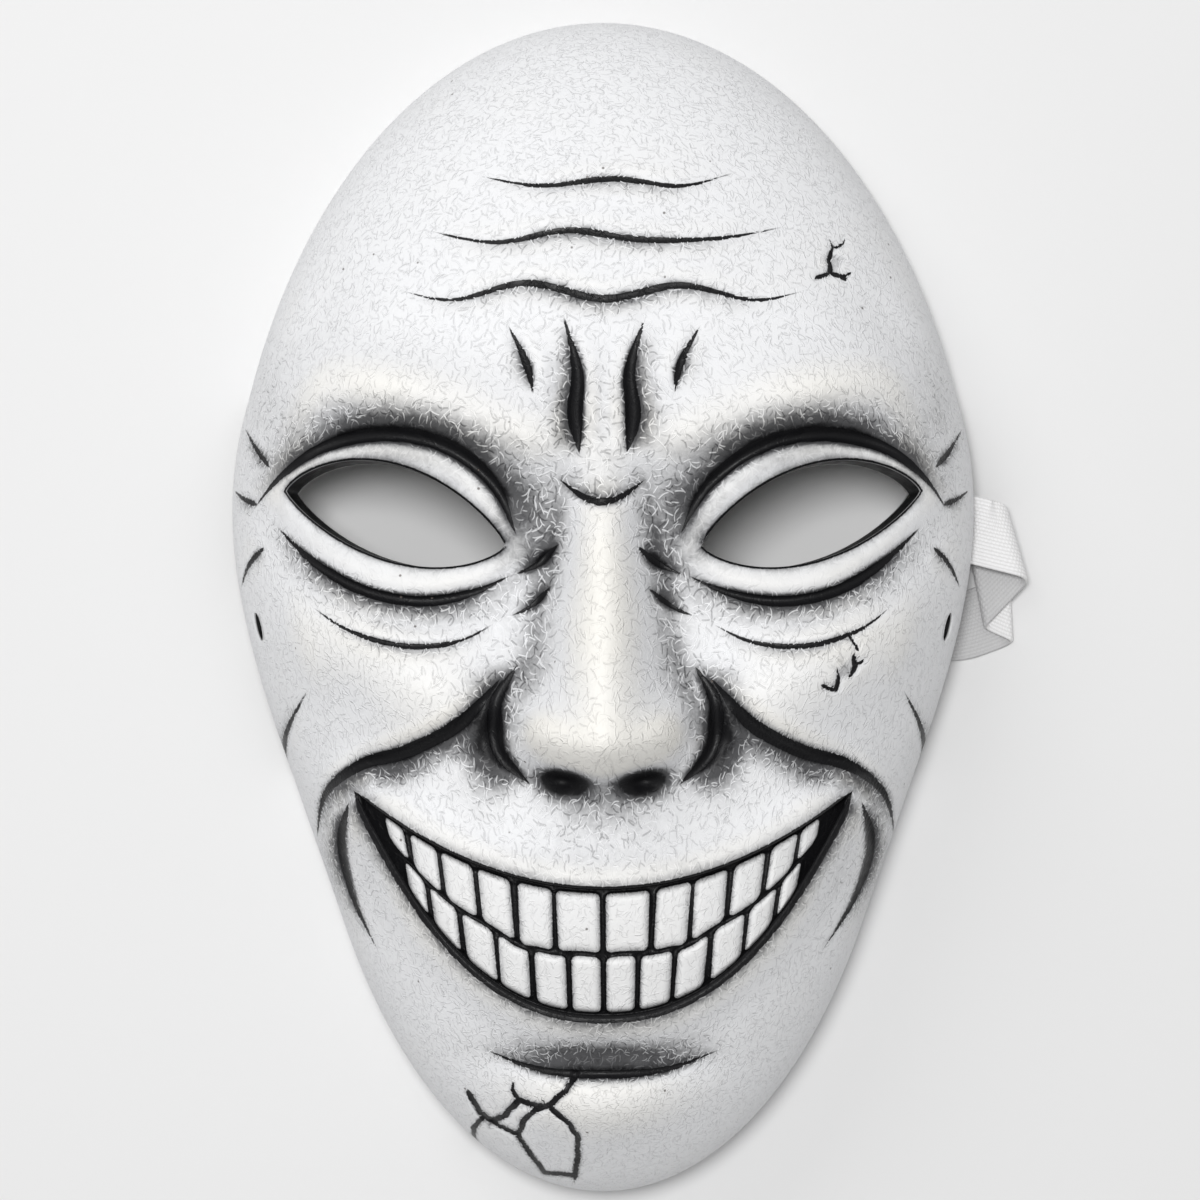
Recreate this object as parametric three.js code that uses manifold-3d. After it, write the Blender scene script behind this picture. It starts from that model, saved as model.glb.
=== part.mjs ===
// Grinning horror mask: a hollow moulded shell for the whole face, with eye holes, a strap hole
// in each side and a loose elastic strap. Sizes are in millimetres.
// It lies face up: the rim stands on z = 0, +Y runs up the face and +Z points out of it.

import * as THREE from "three";
import { mergeVertices } from "three/addons/utils/BufferGeometryUtils.js";
import Module from "manifold-3d";

const wasm = await Module();
wasm.setup();

// Shell sizes. The two widths draw the upper and the lower half of the outline.
const HEIGHT = 262;
const CROWN_WIDTH = 170;
const JAW_WIDTH = 138;
const DOME_DEPTH = 58;
const WALL = 3;
const FULLNESS = 2.6; // power of the dome's curve, lower at the crown and higher at the chin
const FULLNESS_CHANGE = 0.3;

// Eye holes, mouth and strap holes
const EYE = { innerX: 21, innerY: 13, outerX: 69, outerY: 25, rise: 11.5, drop: 9.5, rim: 2.6, rimWidth: 4 };
const MOUTH = { cornerX: 54, cornerY: -40, upperY: -60, lowerY: -88, lip: 3.5, lipWidth: 4.5, floor: 1 };
const TOOTH = { gap: 1, rise: 2.8, seat: 0.8, chamfer: 0.2 };
const STRAP_HOLE = { y: -4, z: 24, alongY: 6.5, alongZ: 5 };
const RIM_ARCH = { y: 4, length: 80, rise: 11 };

// Strap sizes
const STRAP_WIDTH = 15;
const STRAP_THICKNESS = 1.2;
const STRAP_GAP = 0.3;
const ANCHOR_GAP = 0.75; // from the smooth wall, whose facets stand a little inside it

// Soft forms of the face: middle, radii, tilt in degrees and height, and whether there is one each side
const FORMS = [
  { name: "frown", x: 0, y: 40, across: 14, along: 10, tilt: 0, rise: 4, pair: false },
  { name: "inner_brow", x: 20, y: 37, across: 16, along: 8, tilt: 16, rise: 7, pair: true },
  { name: "outer_brow", x: 48, y: 47, across: 21, along: 8.5, tilt: 6, rise: 9.5, pair: true },
  { name: "brow_end", x: 69, y: 37, across: 9, along: 12, tilt: 30, rise: 6, pair: true },
  { name: "eye_socket", x: 44, y: 19, across: 31, along: 16, tilt: 13, rise: -10, pair: true },
  { name: "eyelids", x: 45, y: 19, across: 24, along: 14, tilt: 13, rise: 6, pair: true },
  { name: "temple", x: 68, y: 68, across: 12, along: 20, tilt: 0, rise: -3.5, pair: true },
  { name: "cheekbone", x: 54, y: -9, across: 21, along: 12, tilt: 18, rise: 9, pair: true },
  { name: "cheek", x: 36, y: -21, across: 16, along: 12, tilt: -25, rise: 6, pair: true },
  { name: "cheek_hollow", x: 58, y: -67, across: 13, along: 20, tilt: 15, rise: -5, pair: true },
  { name: "muzzle", x: 0, y: -62, across: 46, along: 26, tilt: 0, rise: 7, pair: false },
  { name: "under_lip", x: 0, y: -98, across: 28, along: 5, tilt: 0, rise: -3, pair: false },
  { name: "chin", x: 0, y: -112, across: 22, along: 13, tilt: 0, rise: 9, pair: false },
  { name: "smile_fold", x: 41, y: -34, across: 22, along: 4, tilt: -25, rise: -3, pair: true },
  { name: "nose_tip", x: 0, y: -25, across: 9, along: 8, tilt: 0, rise: 3.5, pair: false },
  { name: "nose_wing", x: 14, y: -26, across: 7, along: 7.5, tilt: 0, rise: 10, pair: true },
  { name: "nostril", x: 8, y: -36, across: 4.2, along: 3, tilt: 0, rise: -6, pair: true },
];

// Bridge of the nose from the brow down: half width at its foot and height over the face
const NOSE = [
  { y: 38, halfWidth: 9, rise: 0 },
  { y: 27, halfWidth: 10, rise: 5 },
  { y: 15, halfWidth: 12, rise: 13 },
  { y: 3, halfWidth: 14.5, rise: 19.5 },
  { y: -9, halfWidth: 17, rise: 23.5 },
  { y: -19, halfWidth: 19.5, rise: 25.5 },
  { y: -26, halfWidth: 20, rise: 24.5 },
  { y: -32, halfWidth: 19, rise: 17 },
  { y: -37, halfWidth: 16, rise: 6 },
  { y: -42, halfWidth: 14, rise: 0 },
];
const NOSE_HOOK = 0.15; // how far the nose leans down for each millimetre that it stands out

// Teeth of one side from the middle out: where each one ends, in the upper and the lower row
const TEETH = [
  { name: "first_incisor", upperEnd: 10.5, lowerEnd: 7.5 },
  { name: "second_incisor", upperEnd: 19, lowerEnd: 15 },
  { name: "canine", upperEnd: 27, lowerEnd: 23 },
  { name: "first_premolar", upperEnd: 34.5, lowerEnd: 30.5 },
  { name: "second_premolar", upperEnd: 41, lowerEnd: 37.5 },
  { name: "molar", upperEnd: 46.5, lowerEnd: 43.5 },
];

// Mesh steps from the middle column out to the side, and from the chin up to the crown
const COLUMNS = { nose: 5, mouth: 8, eyeEnd: 3, side: 5 };
const ROWS = { jaw: 13, cheeks: 17, brow: 17 };

const { lerp, degToRad, smoothstep } = THREE.MathUtils;
const steps = (count) => Array.from({ length: count + 1 }, (_, i) => i / count);

// Half width of the outline for a height given as a share of the half height, before it closes in
// like an ellipse: it eases from the jaw's width to the crown's.
function halfWidthAt(yShare) {
  return lerp(JAW_WIDTH, CROWN_WIDTH, smoothstep(yShare, -0.55, 0.3)) / 2;
}

// Height of the bare dome over a place in the unit disc: a superellipse from the middle to the rim
function domeRise(xShare, yShare) {
  const out = Math.min(1, Math.hypot(xShare, yShare));
  const power = FULLNESS - FULLNESS_CHANGE * (out > 0 ? yShare / out : 0);
  return (1 - out ** power) ** (1 / power);
}

// Point of the bare dome for a place (u, v) in the square from -1 to 1: the square is bent to a disc
// and the disc is stretched to the outline. An inset makes the smaller dome of the inner face.
function domePoint(u, v, inset) {
  const a = u * Math.sqrt(1 - v * v / 2);
  const b = v * Math.sqrt(1 - u * u / 2);
  const reach = Math.max(1e-9, Math.hypot(a, b));
  const out = Math.sin(Math.min(1, reach) * Math.PI / 2) / reach;
  const onRim = Math.max(Math.abs(u), Math.abs(v)) === 1;
  const rise = onRim ? 0 : domeRise(a * out, b * out);
  return new THREE.Vector3(
    a * out * (halfWidthAt(b * out) - inset),
    b * out * (HEIGHT / 2 - inset),
    rise * (DOME_DEPTH - inset),
  );
}

// Place (u, v) in the square under a point of the face seen from the front: domePoint undone
function squarePlace(x, y) {
  const yShare = y / (HEIGHT / 2);
  const xShare = x / halfWidthAt(yShare);
  const out = Math.hypot(xShare, yShare);
  const reach = Math.asin(Math.min(1, out)) * 2 / Math.PI / out;
  const a = xShare * reach;
  const b = yShare * reach;
  const lean = a * a - b * b;
  const half = (sum, part) => Math.sqrt(Math.max(0, sum + 2 * Math.SQRT2 * part)) / 2;
  return {
    u: half(2 + lean, a) - half(2 + lean, -a),
    v: half(2 - lean, b) - half(2 - lean, -b),
  };
}

// Value of a column of a table by a smooth curve through its rows, which run down in y
function tableValue(rows, column, y) {
  if (y >= rows[0].y || y <= rows[rows.length - 1].y) {
    return y >= rows[0].y ? rows[0][column] : rows[rows.length - 1][column];
  }
  const i = rows.findIndex((row, k) => k > 0 && y >= row.y) - 1;
  const at = (k) => rows[Math.min(rows.length - 1, Math.max(0, k))][column];
  const t = (rows[i].y - y) / (rows[i].y - rows[i + 1].y);
  const start = (at(i + 1) - at(i - 1)) / 2;
  const end = (at(i + 2) - at(i)) / 2;
  const bend = 3 * (at(i + 1) - at(i)) - 2 * start - end;
  const turn = 2 * (at(i) - at(i + 1)) + start + end;
  return at(i) + t * (start + t * (bend + t * turn));
}

// Height of one soft form: a bell over a tilted ellipse
function formRise(form, x, y) {
  const c = Math.cos(degToRad(form.tilt));
  const s = Math.sin(degToRad(form.tilt));
  const across = ((x - form.x) * c + (y - form.y) * s) / form.across;
  const along = ((y - form.y) * c - (x - form.x) * s) / form.along;
  return form.rise * Math.exp(-across * across - along * along);
}

// Height of the nose: a rounded bridge that falls to nothing at its foot
function noseRise(x, y) {
  const share = Math.min(1, Math.abs(x) / tableValue(NOSE, "halfWidth", y));
  return Math.max(0, tableValue(NOSE, "rise", y)) * (1 - share * share) ** 2;
}

// All broad forms of the face together, fading out towards the rim
function broadRelief(x, y) {
  const yShare = y / (HEIGHT / 2);
  const out = Math.hypot(x / halfWidthAt(yShare), yShare);
  const fade = 1 - smoothstep(out, 0.8, 0.97);
  const forms = FORMS.map((form) => formRise(form, x, y) + (form.pair ? formRise(form, -x, y) : 0));
  return fade * (noseRise(x, y) + forms.reduce((sum, rise) => sum + rise, 0));
}

// Edge of the upper (1) or lower (-1) eyelid from the inner corner (0) to the outer one (1)
function lidPoint(share, side) {
  const arch = (4 * share * (1 - share)) ** 0.8;
  return {
    x: lerp(EYE.innerX, EYE.outerX, share),
    y: lerp(EYE.innerY, EYE.outerY, share) + (side > 0 ? EYE.rise : -EYE.drop) * arch,
  };
}

// Edge of the upper (1) or lower (-1) lip at a distance across from the middle: a bowed curve
function lipY(x, side) {
  const share = Math.min(1, Math.abs(x) / MOUTH.cornerX);
  const middle = side > 0 ? MOUTH.upperY : MOUTH.lowerY;
  return lerp(middle, MOUTH.cornerY, share ** (side > 0 ? 2 : 2.3));
}

// Outlines of one eye hole and of the mouth as closed runs of points, for distances to their edges
const eyeEdge = [...steps(24).map((s) => lidPoint(s, 1)), ...steps(24).map((s) => lidPoint(1 - s, -1))];
const lipEdge = [1, -1].flatMap((side) =>
  steps(32).map((s) => {
    const x = lerp(-MOUTH.cornerX, MOUTH.cornerX, side > 0 ? s : 1 - s);
    return { x, y: lipY(x, side) };
  }),
);

// Shortest distance from a point to a run of points joined by straight lines
function edgeDistance(edge, x, y) {
  let nearest = Infinity;
  for (let i = 1; i < edge.length; i++) {
    const dx = edge[i].x - edge[i - 1].x;
    const dy = edge[i].y - edge[i - 1].y;
    const along = ((x - edge[i - 1].x) * dx + (y - edge[i - 1].y) * dy) / (dx * dx + dy * dy || 1);
    const t = Math.min(1, Math.max(0, along));
    nearest = Math.min(nearest, Math.hypot(x - edge[i - 1].x - t * dx, y - edge[i - 1].y - t * dy));
  }
  return nearest;
}

// Raised lip or eyelid rim: a round bead a little way out from the edge
function beadRise(distance, height, width) {
  return height * Math.exp(-(((distance - width * 0.45) / width) ** 2));
}

// Outer face for a place (u, v): dome, broad forms, eyelid rims and lips, with the nose leaning down
function outerPoint(u, v) {
  const point = domePoint(u, v, 0);
  const { x, y } = point;
  const lids = beadRise(edgeDistance(eyeEdge, Math.abs(x), y), EYE.rim, EYE.rimWidth);
  const lips = beadRise(edgeDistance(lipEdge, x, y), MOUTH.lip, MOUTH.lipWidth);
  point.z += broadRelief(x, y) + lids + lips;
  point.y -= NOSE_HOOK * noseRise(x, y);
  return point;
}

// Floor of the mouth for a place (u, v), a little under the face and well under the lips
function mouthPoint(u, v) {
  const point = domePoint(u, v, 0);
  point.z += broadRelief(point.x, point.y) - MOUTH.floor;
  return point;
}

// Inner face for a place (u, v): the smaller dome with the lowest of the broad forms around each point,
// which keeps the wall thick on steep places such as the sides of the nose
function innerPoint(u, v) {
  const point = domePoint(u, v, WALL);
  const { x, y } = point;
  let relief = broadRelief(x, y);
  for (const share of steps(8)) {
    const angle = share * 2 * Math.PI;
    relief = Math.min(relief, broadRelief(x + WALL * Math.cos(angle), y + WALL * Math.sin(angle)));
  }
  point.z += relief * smoothstep(point.z, 0, 12);
  point.y -= NOSE_HOOK * noseRise(x, y);
  return point;
}

// Row of the square that follows a curve of the face: v for each u, by straight lines between samples
function rowThrough(curve) {
  const places = steps(48).map((share) => {
    const { x, y } = curve(share);
    return squarePlace(x, y);
  });
  return (u) => {
    const i = Math.max(1, Math.min(places.length - 1, places.findIndex((place) => place.u >= u)));
    const t = (u - places[i - 1].u) / (places[i].u - places[i - 1].u);
    return lerp(places[i - 1].v, places[i].v, Math.min(1, Math.max(0, t)));
  };
}

// Columns of the mesh: even steps between the middle, the eye corners, the mouth corner and the side
const innerEye = squarePlace(EYE.innerX, EYE.innerY);
const outerEye = squarePlace(EYE.outerX, EYE.outerY);
const mouthCorner = squarePlace(MOUTH.cornerX, MOUTH.cornerY);
const spans = [
  { from: 0, to: innerEye.u, count: COLUMNS.nose },
  { from: innerEye.u, to: mouthCorner.u, count: COLUMNS.mouth },
  { from: mouthCorner.u, to: outerEye.u, count: COLUMNS.eyeEnd },
  { from: outerEye.u, to: 1, count: COLUMNS.side },
];
const half = spans.flatMap(({ from, to, count }) => steps(count).slice(1).map((s) => lerp(from, to, s)));
const columns = [...half.map((u) => -u).reverse(), 0, ...half];
const inEye = (u) => Math.abs(u) >= innerEye.u - 1e-9 && Math.abs(u) <= outerEye.u + 1e-9;
const inMouth = (u) => Math.abs(u) <= mouthCorner.u + 1e-9;

// Rows that bound the jaw, the cheeks and the brow: they split along the lips and the eyelids
const lidRows = [1, -1].map((side) => rowThrough((share) => lidPoint(share, side)));
const lipRows = [1, -1].map((side) =>
  rowThrough((share) => {
    const x = lerp(-MOUTH.cornerX, MOUTH.cornerX, share);
    return { x, y: lipY(x, side) };
  }),
);
const lipRow = (u, upper) => (inMouth(u) ? lipRows[upper ? 0 : 1](u) : mouthCorner.v);
function lidRow(u, upper) {
  if (inEye(u)) {
    return lidRows[upper ? 0 : 1](Math.abs(u));
  }
  return Math.abs(u) < innerEye.u ? innerEye.v : outerEye.v;
}

// Grid of points between two rows, one list for each row
function gridBetween(us, shares, lowRow, highRow, pointAt) {
  return shares.map((share) => us.map((u) => pointAt(u, lerp(lowRow(u), highRow(u), share), share)));
}

// Triangles of a grid of points, facing out or in, with the collapsed ones left out later by the weld
function gridTriangles(grid, outward) {
  const triangles = [];
  for (let j = 1; j < grid.length; j++) {
    for (let i = 1; i < grid[j].length; i++) {
      const [a, b, c, d] = [grid[j - 1][i - 1], grid[j - 1][i], grid[j][i], grid[j][i - 1]];
      triangles.push(...(outward ? [a, b, c, a, c, d] : [a, c, b, a, d, c]));
    }
  }
  return triangles;
}

// Solid from a run of triangle corners: equal corners are welded and collapsed triangles dropped
function solidFrom(corners) {
  const geometry = new THREE.BufferGeometry().setFromPoints(corners);
  const welded = mergeVertices(geometry, 1e-4);
  const index = Array.from(welded.index.array);
  const kept = [];
  for (let i = 0; i < index.length; i += 3) {
    const [a, b, c] = index.slice(i, i + 3);
    if (a !== b && b !== c && c !== a) {
      kept.push(a, b, c);
    }
  }
  return new wasm.Manifold(
    new wasm.Mesh({
      numProp: 3,
      vertProperties: new Float32Array(welded.attributes.position.array),
      triVerts: new Uint32Array(kept),
    }),
  );
}

// The shell: outer and inner grids of jaw, cheeks, brow and mouth, joined round the rim and eye holes
function shellCorners() {
  const bands = [
    { count: ROWS.jaw, low: () => -1, high: (u) => lipRow(u, false) },
    { count: ROWS.cheeks, low: (u) => lipRow(u, true), high: (u) => lidRow(u, false) },
    { count: ROWS.brow, low: (u) => lidRow(u, true), high: () => 1 },
  ];
  const grids = (pointAt) =>
    bands.map(({ count, low, high }) => gridBetween(columns, steps(count), low, high, pointAt));
  const outer = grids(outerPoint);
  const inner = grids(innerPoint);
  const mouthColumns = columns.filter(inMouth);
  const low = (u) => lipRow(u, false);
  const high = (u) => lipRow(u, true);
  const floorShares = [0, 0.08, 0.5, 0.92, 1];
  const mouth = gridBetween(mouthColumns, floorShares, low, high, (u, v, share) =>
    share === 0 || share === 1 || Math.abs(u) > mouthCorner.u - 1e-9 ? outerPoint(u, v) : mouthPoint(u, v),
  );
  const mouthBack = gridBetween(mouthColumns, floorShares, low, high, innerPoint);
  const faces = [...outer, mouth].flatMap((grid) => gridTriangles(grid, true));
  faces.push(...[...inner, mouthBack].flatMap((grid) => gridTriangles(grid, false)));

  // Strips that join the outer and the inner face along matching runs of points
  const eyeColumns = [-1, 1].map((side) =>
    columns.map((u, i) => i).filter((i) => inEye(columns[i]) && side * columns[i] > 0),
  );
  const pick = (row, ids) => ids.map((i) => row[i]);
  const last = (grid) => grid[grid.length - 1];
  const edges = [
    [inner[0][0], outer[0][0]],
    [last(outer[2]), last(inner[2])],
    ...[0, 1, 2].flatMap((k) => [
      [outer[k].map((row) => row[0]), inner[k].map((row) => row[0])],
      [inner[k].map((row) => row[row.length - 1]), outer[k].map((row) => row[row.length - 1])],
    ]),
    ...eyeColumns.flatMap((ids) => [
      [pick(last(outer[1]), ids), pick(last(inner[1]), ids)],
      [pick(inner[2][0], ids), pick(outer[2][0], ids)],
    ]),
  ];
  faces.push(...edges.flatMap(([first, second]) => gridTriangles([first, second], true)));
  return faces;
}

// One tooth: a plate between two places across and two shares of the mouth's height, with a round edge
function toothCorners(fromX, toX, lowShare, highShare) {
  const stops = [0, TOOTH.chamfer, 1 - TOOTH.chamfer, 1];
  const layer = (front) =>
    stops.map((down, j) =>
      stops.map((across, i) => {
        const x = lerp(fromX, toX, across);
        const y = lerp(lipY(x, -1), lipY(x, 1), lerp(lowShare, highShare, down));
        const { u, v } = squarePlace(x, y);
        const inside = i % 3 > 0 && j % 3 > 0;
        const rise = front ? TOOTH.rise * (inside ? 1 : 0.5) : -TOOTH.seat;
        return mouthPoint(u, v).add(new THREE.Vector3(0, 0, rise));
      }),
    );
  const front = layer(true);
  const back = layer(false);
  const side = (grid, k) => grid.map((row) => row[k]);
  return [
    ...gridTriangles(front, true),
    ...gridTriangles(back, false),
    ...gridTriangles([back[0], front[0]], true),
    ...gridTriangles([front[3], back[3]], true),
    ...gridTriangles([side(front, 0), side(back, 0)], true),
    ...gridTriangles([side(back, 3), side(front, 3)], true),
  ];
}

// All teeth: an upper and a lower tooth for each row of the table on both sides
function teethSolids() {
  const solids = [];
  for (const row of ["upper", "lower"]) {
    TEETH.forEach((tooth, i) => {
      const from = (i > 0 ? TEETH[i - 1][`${row}End`] : 0) + TOOTH.gap / 2;
      const to = tooth[`${row}End`] - TOOTH.gap / 2;
      const [low, high] = row === "upper" ? [0.53, 0.95] : [0.05, 0.47];
      solids.push(solidFrom(toothCorners(from, to, low, high)));
      solids.push(solidFrom(toothCorners(-to, -from, low, high)));
    });
  }
  return solids;
}

// A closed cutter through both sides along X, with a round outline of the given size in Y and Z
function sideCutter(y, z, alongY, alongZ, sides) {
  const geometry = new THREE.CylinderGeometry(0.5, 0.5, 60, sides);
  geometry.rotateZ(Math.PI / 2);
  geometry.scale(1, alongY, alongZ);
  geometry.deleteAttribute("normal");
  geometry.deleteAttribute("uv");
  return [-1, 1].map((side) => {
    const placed = geometry.clone().translate(side * 90, y, z).toNonIndexed();
    const at = placed.attributes.position;
    const corner = (_, i) => new THREE.Vector3().fromBufferAttribute(at, i);
    const corners = Array.from({ length: at.count }, corner);
    return solidFrom(corners);
  });
}

function shellSolid() {
  let shell = solidFrom(shellCorners());
  for (const tooth of teethSolids()) {
    shell = shell.add(tooth);
  }
  const holes = sideCutter(STRAP_HOLE.y, STRAP_HOLE.z, STRAP_HOLE.alongY, STRAP_HOLE.alongZ, 14);
  const arches = sideCutter(RIM_ARCH.y, 0, RIM_ARCH.length, 2 * RIM_ARCH.rise, 24);
  for (const cutter of [...holes, ...arches]) {
    shell = shell.subtract(cutter);
  }
  return shell;
}

// Distance of the shell's inner side wall from the middle plane at a height up the face and over the rim
function sideWallX(y, z) {
  const rise = z / (DOME_DEPTH - WALL);
  const yShare = y / (HEIGHT / 2 - WALL);
  const power = FULLNESS - FULLNESS_CHANGE * yShare;
  const out = (1 - rise ** power) ** (1 / power);
  return Math.sqrt(out * out - yShare * yShare) * (halfWidthAt(yShare) - WALL);
}

const ahead = (degrees) => new THREE.Vector3(Math.cos(degToRad(degrees)), Math.sin(degToRad(degrees)), 0);
const UP = new THREE.Vector3(0, 0, 1);

// Sections of a stretch of strap through some points: its middle, half its width towards the left edge, and
// its upper side. It lies flat unless its left edge is given, and no edge of it sinks into the floor.
function strapRun(points, count, leftEdge) {
  const curve = new THREE.CatmullRomCurve3(points.map((p) => new THREE.Vector3(...p)), false, "centripetal");
  return steps(count).map((share) => {
    const along = curve.getTangentAt(share);
    const edge = leftEdge ? leftEdge.clone() : UP.clone().cross(along);
    edge.addScaledVector(along, -edge.dot(along)).setLength(STRAP_WIDTH / 2);
    const face = along.clone().cross(edge).normalize();
    const middle = curve.getPointAt(share);
    middle.z = Math.max(middle.z, STRAP_GAP + Math.abs(edge.z) + Math.abs(face.z) * STRAP_THICKNESS / 2);
    return { middle, edge, face };
  });
}

// A flat strap folded under along a slanting line goes half way round a thin bar laid on that line. Lines of
// the strap along the bar stay straight, so each section is one of them, from edge to edge. Each fold turns
// the strap's upper side (1) down (-1) or back up.
function strapFold({ point, travel, across, facing }, leaving, radius, count) {
  const bar = travel.clone().add(ahead(leaving)).normalize();
  const round = travel.clone().addScaledVector(bar, -travel.dot(bar)).normalize();
  const placeOnBar = (far, side) => {
    const run = (far - side * across.dot(round)) / travel.dot(round);
    return run * travel.dot(bar) + side * across.dot(bar);
  };
  const sections = steps(count).map((share) => {
    const turn = share * Math.PI;
    const [left, right] = [1, -1].map((side) => placeOnBar(radius * turn, side * STRAP_WIDTH / 2));
    const middle = point.clone().addScaledVector(bar, (left + right) / 2);
    middle.addScaledVector(round, radius * Math.sin(turn)).addScaledVector(UP, radius * (Math.cos(turn) - 1));
    const face = UP.clone().multiplyScalar(Math.cos(turn)).addScaledVector(round, Math.sin(turn));
    return {
      middle,
      edge: bar.clone().multiplyScalar((left - right) / 2),
      face: face.multiplyScalar(facing),
    };
  });
  const mirrored = (way) => way.clone().addScaledVector(round, -2 * way.dot(round));
  const end = sections[count].middle.clone();
  const next = { point: end, travel: mirrored(travel), across: mirrored(across), facing: -facing };
  return { sections, next };
}

// The strap's way: down the left wall, over the floor of the hollow, out under the right arch, folded under
// three times in a zigzag, and back under the arch and up the right wall
const ANCHOR = { y: -5, low: 5, high: 20 };
const OUT_HEADING = -14;
const FOLD_START = { x: 89.6, y: 15.2, z: 9.2, flat: 4.8 };
const FOLDS = [
  { leaving: -134, radius: 2.3, run: 8.1 },
  { leaving: -24, radius: 1.05, run: 5.6 },
  { leaving: -150, radius: 0.8, run: 4 },
];

function strapSections() {
  const wall = (z, side) => side * (sideWallX(ANCHOR.y, z) - ANCHOR_GAP - STRAP_THICKNESS / 2);
  const lean = sideWallX(ANCHOR.y + STRAP_WIDTH / 2, 12) - sideWallX(ANCHOR.y - STRAP_WIDTH / 2, 12);
  const wallEdge = (side) => new THREE.Vector3(side * lean, STRAP_WIDTH, 0).normalize();
  const low = STRAP_GAP + STRAP_THICKNESS / 2;
  const left = strapRun(
    [
      [wall(ANCHOR.high, -1), ANCHOR.y, ANCHOR.high],
      [wall(12, -1), ANCHOR.y, 12],
      [wall(ANCHOR.low, -1) + 0.4, ANCHOR.y, ANCHOR.low],
      [-70.5, ANCHOR.y, 1.8],
      [-66, ANCHOR.y, low],
    ],
    14,
    wallEdge(-1),
  );
  const start = new THREE.Vector3(FOLD_START.x, FOLD_START.y, FOLD_START.z);
  const over = strapRun(
    [
      [-66, ANCHOR.y, low],
      [-30, -8, low],
      [8, -9.5, low],
      [34, -8.2, low],
      [50, -1.6, low],
      [60, 4.9, low],
      [68, 10.4, 1.2],
      [74, 14.2, 2.3],
      [78, 16.3, 4.3],
      [80.4, 17.2, 6.5],
      [82.3, 17.1, 8.1],
      [83.8, 16.7, 8.9],
      start.clone().addScaledVector(ahead(OUT_HEADING), -FOLD_START.flat).toArray(),
    ],
    30,
  );
  const sections = [...left, ...over.slice(1)];
  let at = { point: start, travel: ahead(OUT_HEADING), across: ahead(OUT_HEADING + 90), facing: 1 };
  for (const { leaving, radius, run } of FOLDS) {
    const fold = strapFold(at, leaving, radius, 10);
    sections.push(...fold.sections);
    at = fold.next;
    at.point.addScaledVector(at.travel, run);
  }
  const right = strapRun(
    [
      at.point.toArray(),
      [82.5, -4.2, low],
      [79.5, -4.9, low],
      [77.1, ANCHOR.y, 1.9],
      [wall(ANCHOR.low, 1) - 1, ANCHOR.y, ANCHOR.low],
      [wall(12, 1), ANCHOR.y, 12],
      [wall(ANCHOR.high, 1), ANCHOR.y, ANCHOR.high],
    ],
    20,
    wallEdge(1),
  );
  return [...sections, ...right];
}

// The strap: a thin rectangle for each section, joined up in turn and closed at the ends
function strapSolid() {
  const rings = strapSections().map(({ middle, edge, face }) =>
    [[1, 1], [-1, 1], [-1, -1], [1, -1], [1, 1]].map(([e, f]) =>
      middle.clone().addScaledVector(edge, e).addScaledVector(face, f * STRAP_THICKNESS / 2),
    ),
  );
  const cap = ([a, b, c, d]) => [a, b, c, a, c, d];
  const start = cap(rings[0].slice().reverse());
  const end = cap(rings[rings.length - 1]);
  return solidFrom([...gridTriangles(rings, true), ...start, ...end]);
}

function pieceFrom(name, solid, material) {
  const { numProp, vertProperties, triVerts } = solid.getMesh();
  const geometry = new THREE.BufferGeometry();
  const positions = new Float32Array(vertProperties.length / numProp * 3);
  for (let i = 0; i < positions.length / 3; i++) {
    positions.set(vertProperties.slice(i * numProp, i * numProp + 3), i * 3);
  }
  geometry.setAttribute("position", new THREE.BufferAttribute(positions, 3));
  geometry.setIndex(Array.from(triVerts));
  geometry.computeVertexNormals();
  const mesh = new THREE.Mesh(geometry, new THREE.MeshStandardMaterial({ name, ...material }));
  mesh.name = name;
  return mesh;
}

const mask = new THREE.Group();
mask.name = "horror_mask";
mask.add(pieceFrom("mask_shell", shellSolid(), { color: "#e2e1de", roughness: 0.55, metalness: 0 }));
mask.add(pieceFrom("elastic_strap", strapSolid(), { color: "#ece9e6", roughness: 0.9, metalness: 0 }));

export default mask;
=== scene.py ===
import math
import bpy
import numpy as np
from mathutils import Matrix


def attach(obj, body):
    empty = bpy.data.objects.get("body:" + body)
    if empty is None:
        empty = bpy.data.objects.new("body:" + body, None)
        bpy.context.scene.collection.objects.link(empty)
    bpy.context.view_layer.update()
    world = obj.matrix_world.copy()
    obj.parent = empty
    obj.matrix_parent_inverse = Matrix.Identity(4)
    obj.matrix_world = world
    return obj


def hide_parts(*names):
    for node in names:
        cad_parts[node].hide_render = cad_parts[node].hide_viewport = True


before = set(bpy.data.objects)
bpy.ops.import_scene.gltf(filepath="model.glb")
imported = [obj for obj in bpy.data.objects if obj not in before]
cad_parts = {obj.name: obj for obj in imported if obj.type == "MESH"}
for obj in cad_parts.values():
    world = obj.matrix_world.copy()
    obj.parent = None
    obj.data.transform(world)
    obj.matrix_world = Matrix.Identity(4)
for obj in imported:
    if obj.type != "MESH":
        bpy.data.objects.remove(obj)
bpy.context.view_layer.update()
mm = 0.001  # shapes are worked out in millimetres and put into the meshes in metres
print("frame loaded:", sorted(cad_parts))


# ease from 0 to 1 between two values
def smoothStep(x, low, high):
    t = np.clip((x - low) / (high - low), 0, 1)
    return t * t * (3 - 2 * t)


def mix(a, b, t):
    return a + (b - a) * t


# distance along a row of points at each of them
def lengthAlong(points):
    return np.concatenate([[0], np.cumsum(np.linalg.norm(np.diff(points, axis=0), axis=1))])


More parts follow.
